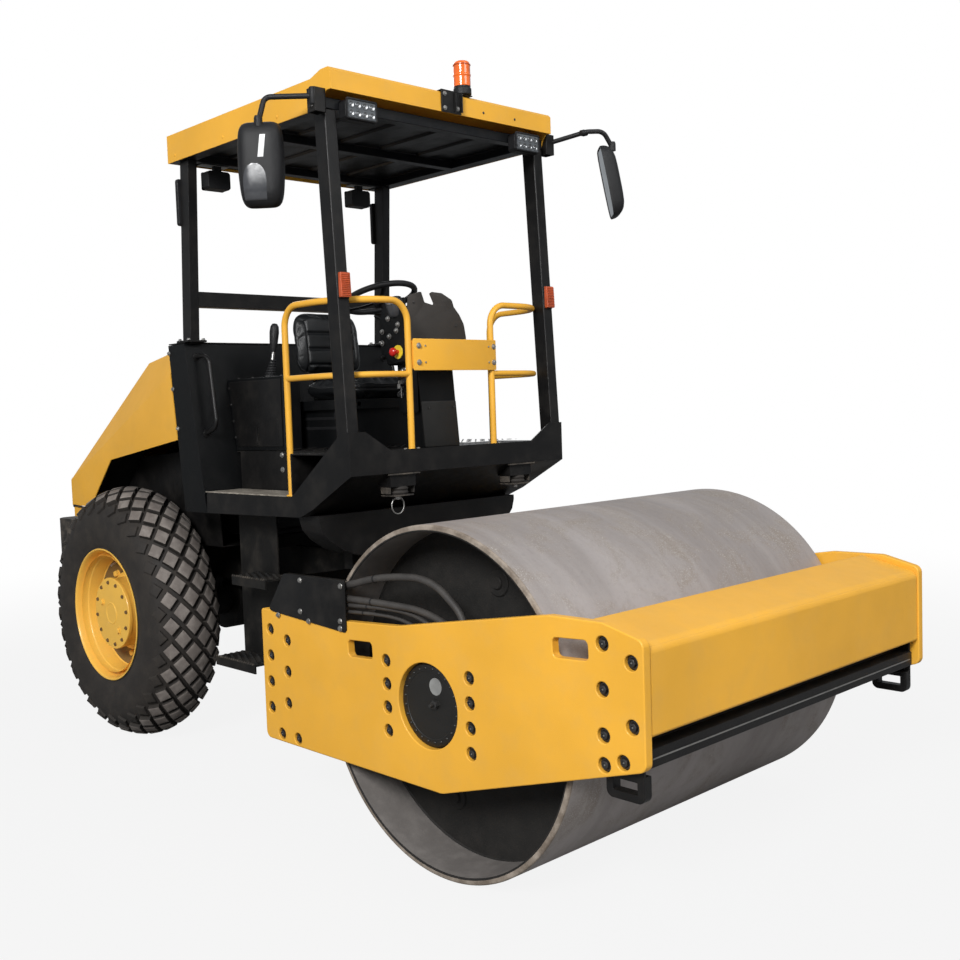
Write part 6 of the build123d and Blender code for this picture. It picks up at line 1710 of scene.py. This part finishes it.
def build_frame_trim():
    """Fixings on the scraper, the front mounts and the hood; the hood's grille, and a pale strip that paints
    the scraper edge's highlight.
    """
    heads("scraper_bolts", "drum_frame",
          [((SCRAPER_BOLT_X, y, SCRAPER_BOLT_Z), UP) for y in np.linspace(-0.78, 0.78, 7)],
          0.010, 0.008, 0.014, BOLT_BLACK)
    # Pale zinc strip along the scraper's edge: a painted highlight.
    put_piece("scraper_edge_painted_highlight", brick((0.004, 1.66, 0.004), (SCRAPER_GLINT_STRIP[0], 0, SCRAPER_GLINT_STRIP[1])),
              "drum_frame", ZINC)
    x, y, z = MOUNT_AT
    plates, pads, nuts = [], [], []
    for side in SIDES:
        plates.append(brick((0.110, 0.170, 0.006), (x, side * y, z + 0.053)))
        plates.append(brick((0.086, 0.110, 0.006), (x, side * y, z - 0.038)))
        for d in (-0.066, 0.066):
            web = np.array([(-0.036, 0, 0.050), (0.036, 0, 0.050), (0.030, 0, -0.030), (-0.030, 0, -0.030)])
            outer = web + (x, side * y + d, z)
            shape = (np.vstack([outer, outer + (0, 0.004, 0)]),
                     [[0, 1, 2, 3], [7, 6, 5, 4], [0, 4, 5, 1], [1, 5, 6, 2], [2, 6, 7, 3], [3, 7, 4, 0]])
            plates.append(shape)
        pads.append(lathed([(0.0, 0.0), (0.043, 0.0), (0.047, -0.010), (0.043, -0.017), (0.047, -0.026),
                            (0.043, -0.034), (0.0, -0.034)], 32, (x, side * y, z)))
        nuts.append(((x, side * y, z - 0.041), DOWN))
    put_piece("mount_plates", merged(*plates), "rear_frame", DUSTY, ease=0.0012)
    put_piece("mount_pads", merged(*pads), "rear_frame", TYRE)
    heads("mount_nuts", "rear_frame", nuts, 0.013, 0.014, 0.022)
    ring = [(x, -y + 0.034 * math.cos(a), z - 0.082 + 0.036 * math.sin(a))
            for a in np.linspace(-0.4, math.pi + 3.5, 40)]
    put_piece("mount_ring", tube(ring, 0.0030, 8), "rear_frame", ZINC, 60)
    latch = []
    for side in SIDES:
        latch.append(brick((0.130, 0.004, 0.060), (-1.855, side * 0.6375, 1.150)))
        latch.append(brick((0.100, 0.006, 0.026), (-1.855, side * 0.6405, 1.142)))
    put_piece("hood_catch_plates", merged(*latch), "rear_frame", YELLOW, ease=0.0015)
    pulls = [tube(bent([(-1.912, side * 0.643, 1.176), (-1.905, side * 0.648, 1.184),
                        (-1.800, side * 0.648, 1.178),
                        (-1.795, side * 0.642, 1.168)], 0.005, 4), 0.005, 10) for side in SIDES]
    put_piece("hood_catch_pulls", merged(*pulls), "rear_frame", PLASTIC, 60)
    slats = [carried([(-0.016, -0.001), (0.016, -0.009), (0.016, -0.006), (-0.016, 0.002)],
                     [(-1.9275, -0.42, z), (-1.9275, 0.42, z)], up=(0, 0, 1))
                     for z in np.linspace(1.226, 1.294, 4)]
    frame_rim = pressed(rounded_box(-0.45, 0.45, 1.200, 1.318, 0.02, 4),
                        [rounded_box(-0.43, 0.43, 1.214, 1.304, 0.012, 4)],
                        0.006, 0.002, 2)
    put_piece("grille_slats", merged(*slats), "hood", PLASTIC)
    put_piece("grille_rim", placed(frame_rim, facing((-1.9255, 0, 0), BACK)), "hood", BLACK)
    # Thin black sheet just behind the slats, darkening the grille's gaps: painted shade.
    put_piece("grille_shade_sheet", brick((0.002, 0.87, 0.10), (-1.9262, 0, 1.259)), "hood", FRAME_BLACK)


def build_engine():
    """Valve cover, air filter and its pipe, silencer and fan round the plain block."""
    base, top = low("engine_block"), high("engine_block")
    mid = (base + top) / 2
    cover = pressed(rounded_box(-0.27, 0.27, -0.085, 0.085, 0.03, 5), (), 0.05, 0.012, 3)
    put_piece("valve_cover", placed(cover, facing((mid[0] + 0.02, 0, top[2] - 0.004), UP, (0, 1, 0))),
              "rear_frame",
              COVER_BLACK)
    drum_profile = [(0, 0.0), (0.075, 0.0), (0.080, 0.006), (0.080, 0.050), (0.084, 0.053), (0.084, 0.062),
                    (0.080, 0.065), (0.080, 0.250), (0.074, 0.256), (0.0, 0.256)]
    put_piece("air_filter", lathed(drum_profile, 40, (mid[0] - 0.16, 0.33, top[2] - 0.060), (1, 0, 0)),
              "rear_frame", PLASTIC)
    pipe = tube(bent([(mid[0] + 0.096, 0.33, top[2] - 0.060), (mid[0] + 0.17, 0.33, top[2] - 0.060),
                      (mid[0] + 0.17, 0.20, top[2] - 0.060)], 0.045), 0.030, 20)
    put_piece("intake_pipe", pipe, "rear_frame", HOSE, 60)
    silencer = lathed([(0, 0.0), (0.060, 0.004), (0.066, 0.012), (0.066, 0.36), (0.060, 0.37), (0, 0.374)],
                      36, (mid[0] - 0.20, -0.340, top[2] - 0.090), (1, 0, 0))
    put_piece("silencer", silencer, "rear_frame", IRON)
    fan_at = facing((base[0] - 0.050, 0, mid[2]), BACK)
    blades = []
    for turn in range(0, 360, 60):
        c, t = math.cos(math.radians(turn)), math.sin(math.radians(turn))
        blades.append(placed(brick((0.060, 0.150, 0.006)),
                             fan_at @ facing((0.11 * t, 0.11 * c, 0.0), (0.35 * c, -0.35 * t, 1), (t, c, 0))))
    put_piece("fan_blades", merged(*blades), "rear_frame", PLASTIC, ease=0.001)
    put_piece("fan_hub",
              placed(turned([(0, 0.02), (0.045, 0.02), (0.05, 0.012), (0.05, -0.05), (0, -0.05)], 32),
                     fan_at),
              "rear_frame", IRON)


build_drum()
for one_side in (RIGHT, LEFT):
    build_side_plate(one_side)
    build_tyre(one_side)
    build_wheel(one_side)
build_axle_covers()
build_beacon()
build_lamps()
build_roof_trim()
build_mirrors()
build_handrails()
build_bulkhead_trim()
build_cabinet_trim()
build_floors()
build_console()
build_controls()
build_seat()
build_hoses()
build_frame_trim()
build_engine()
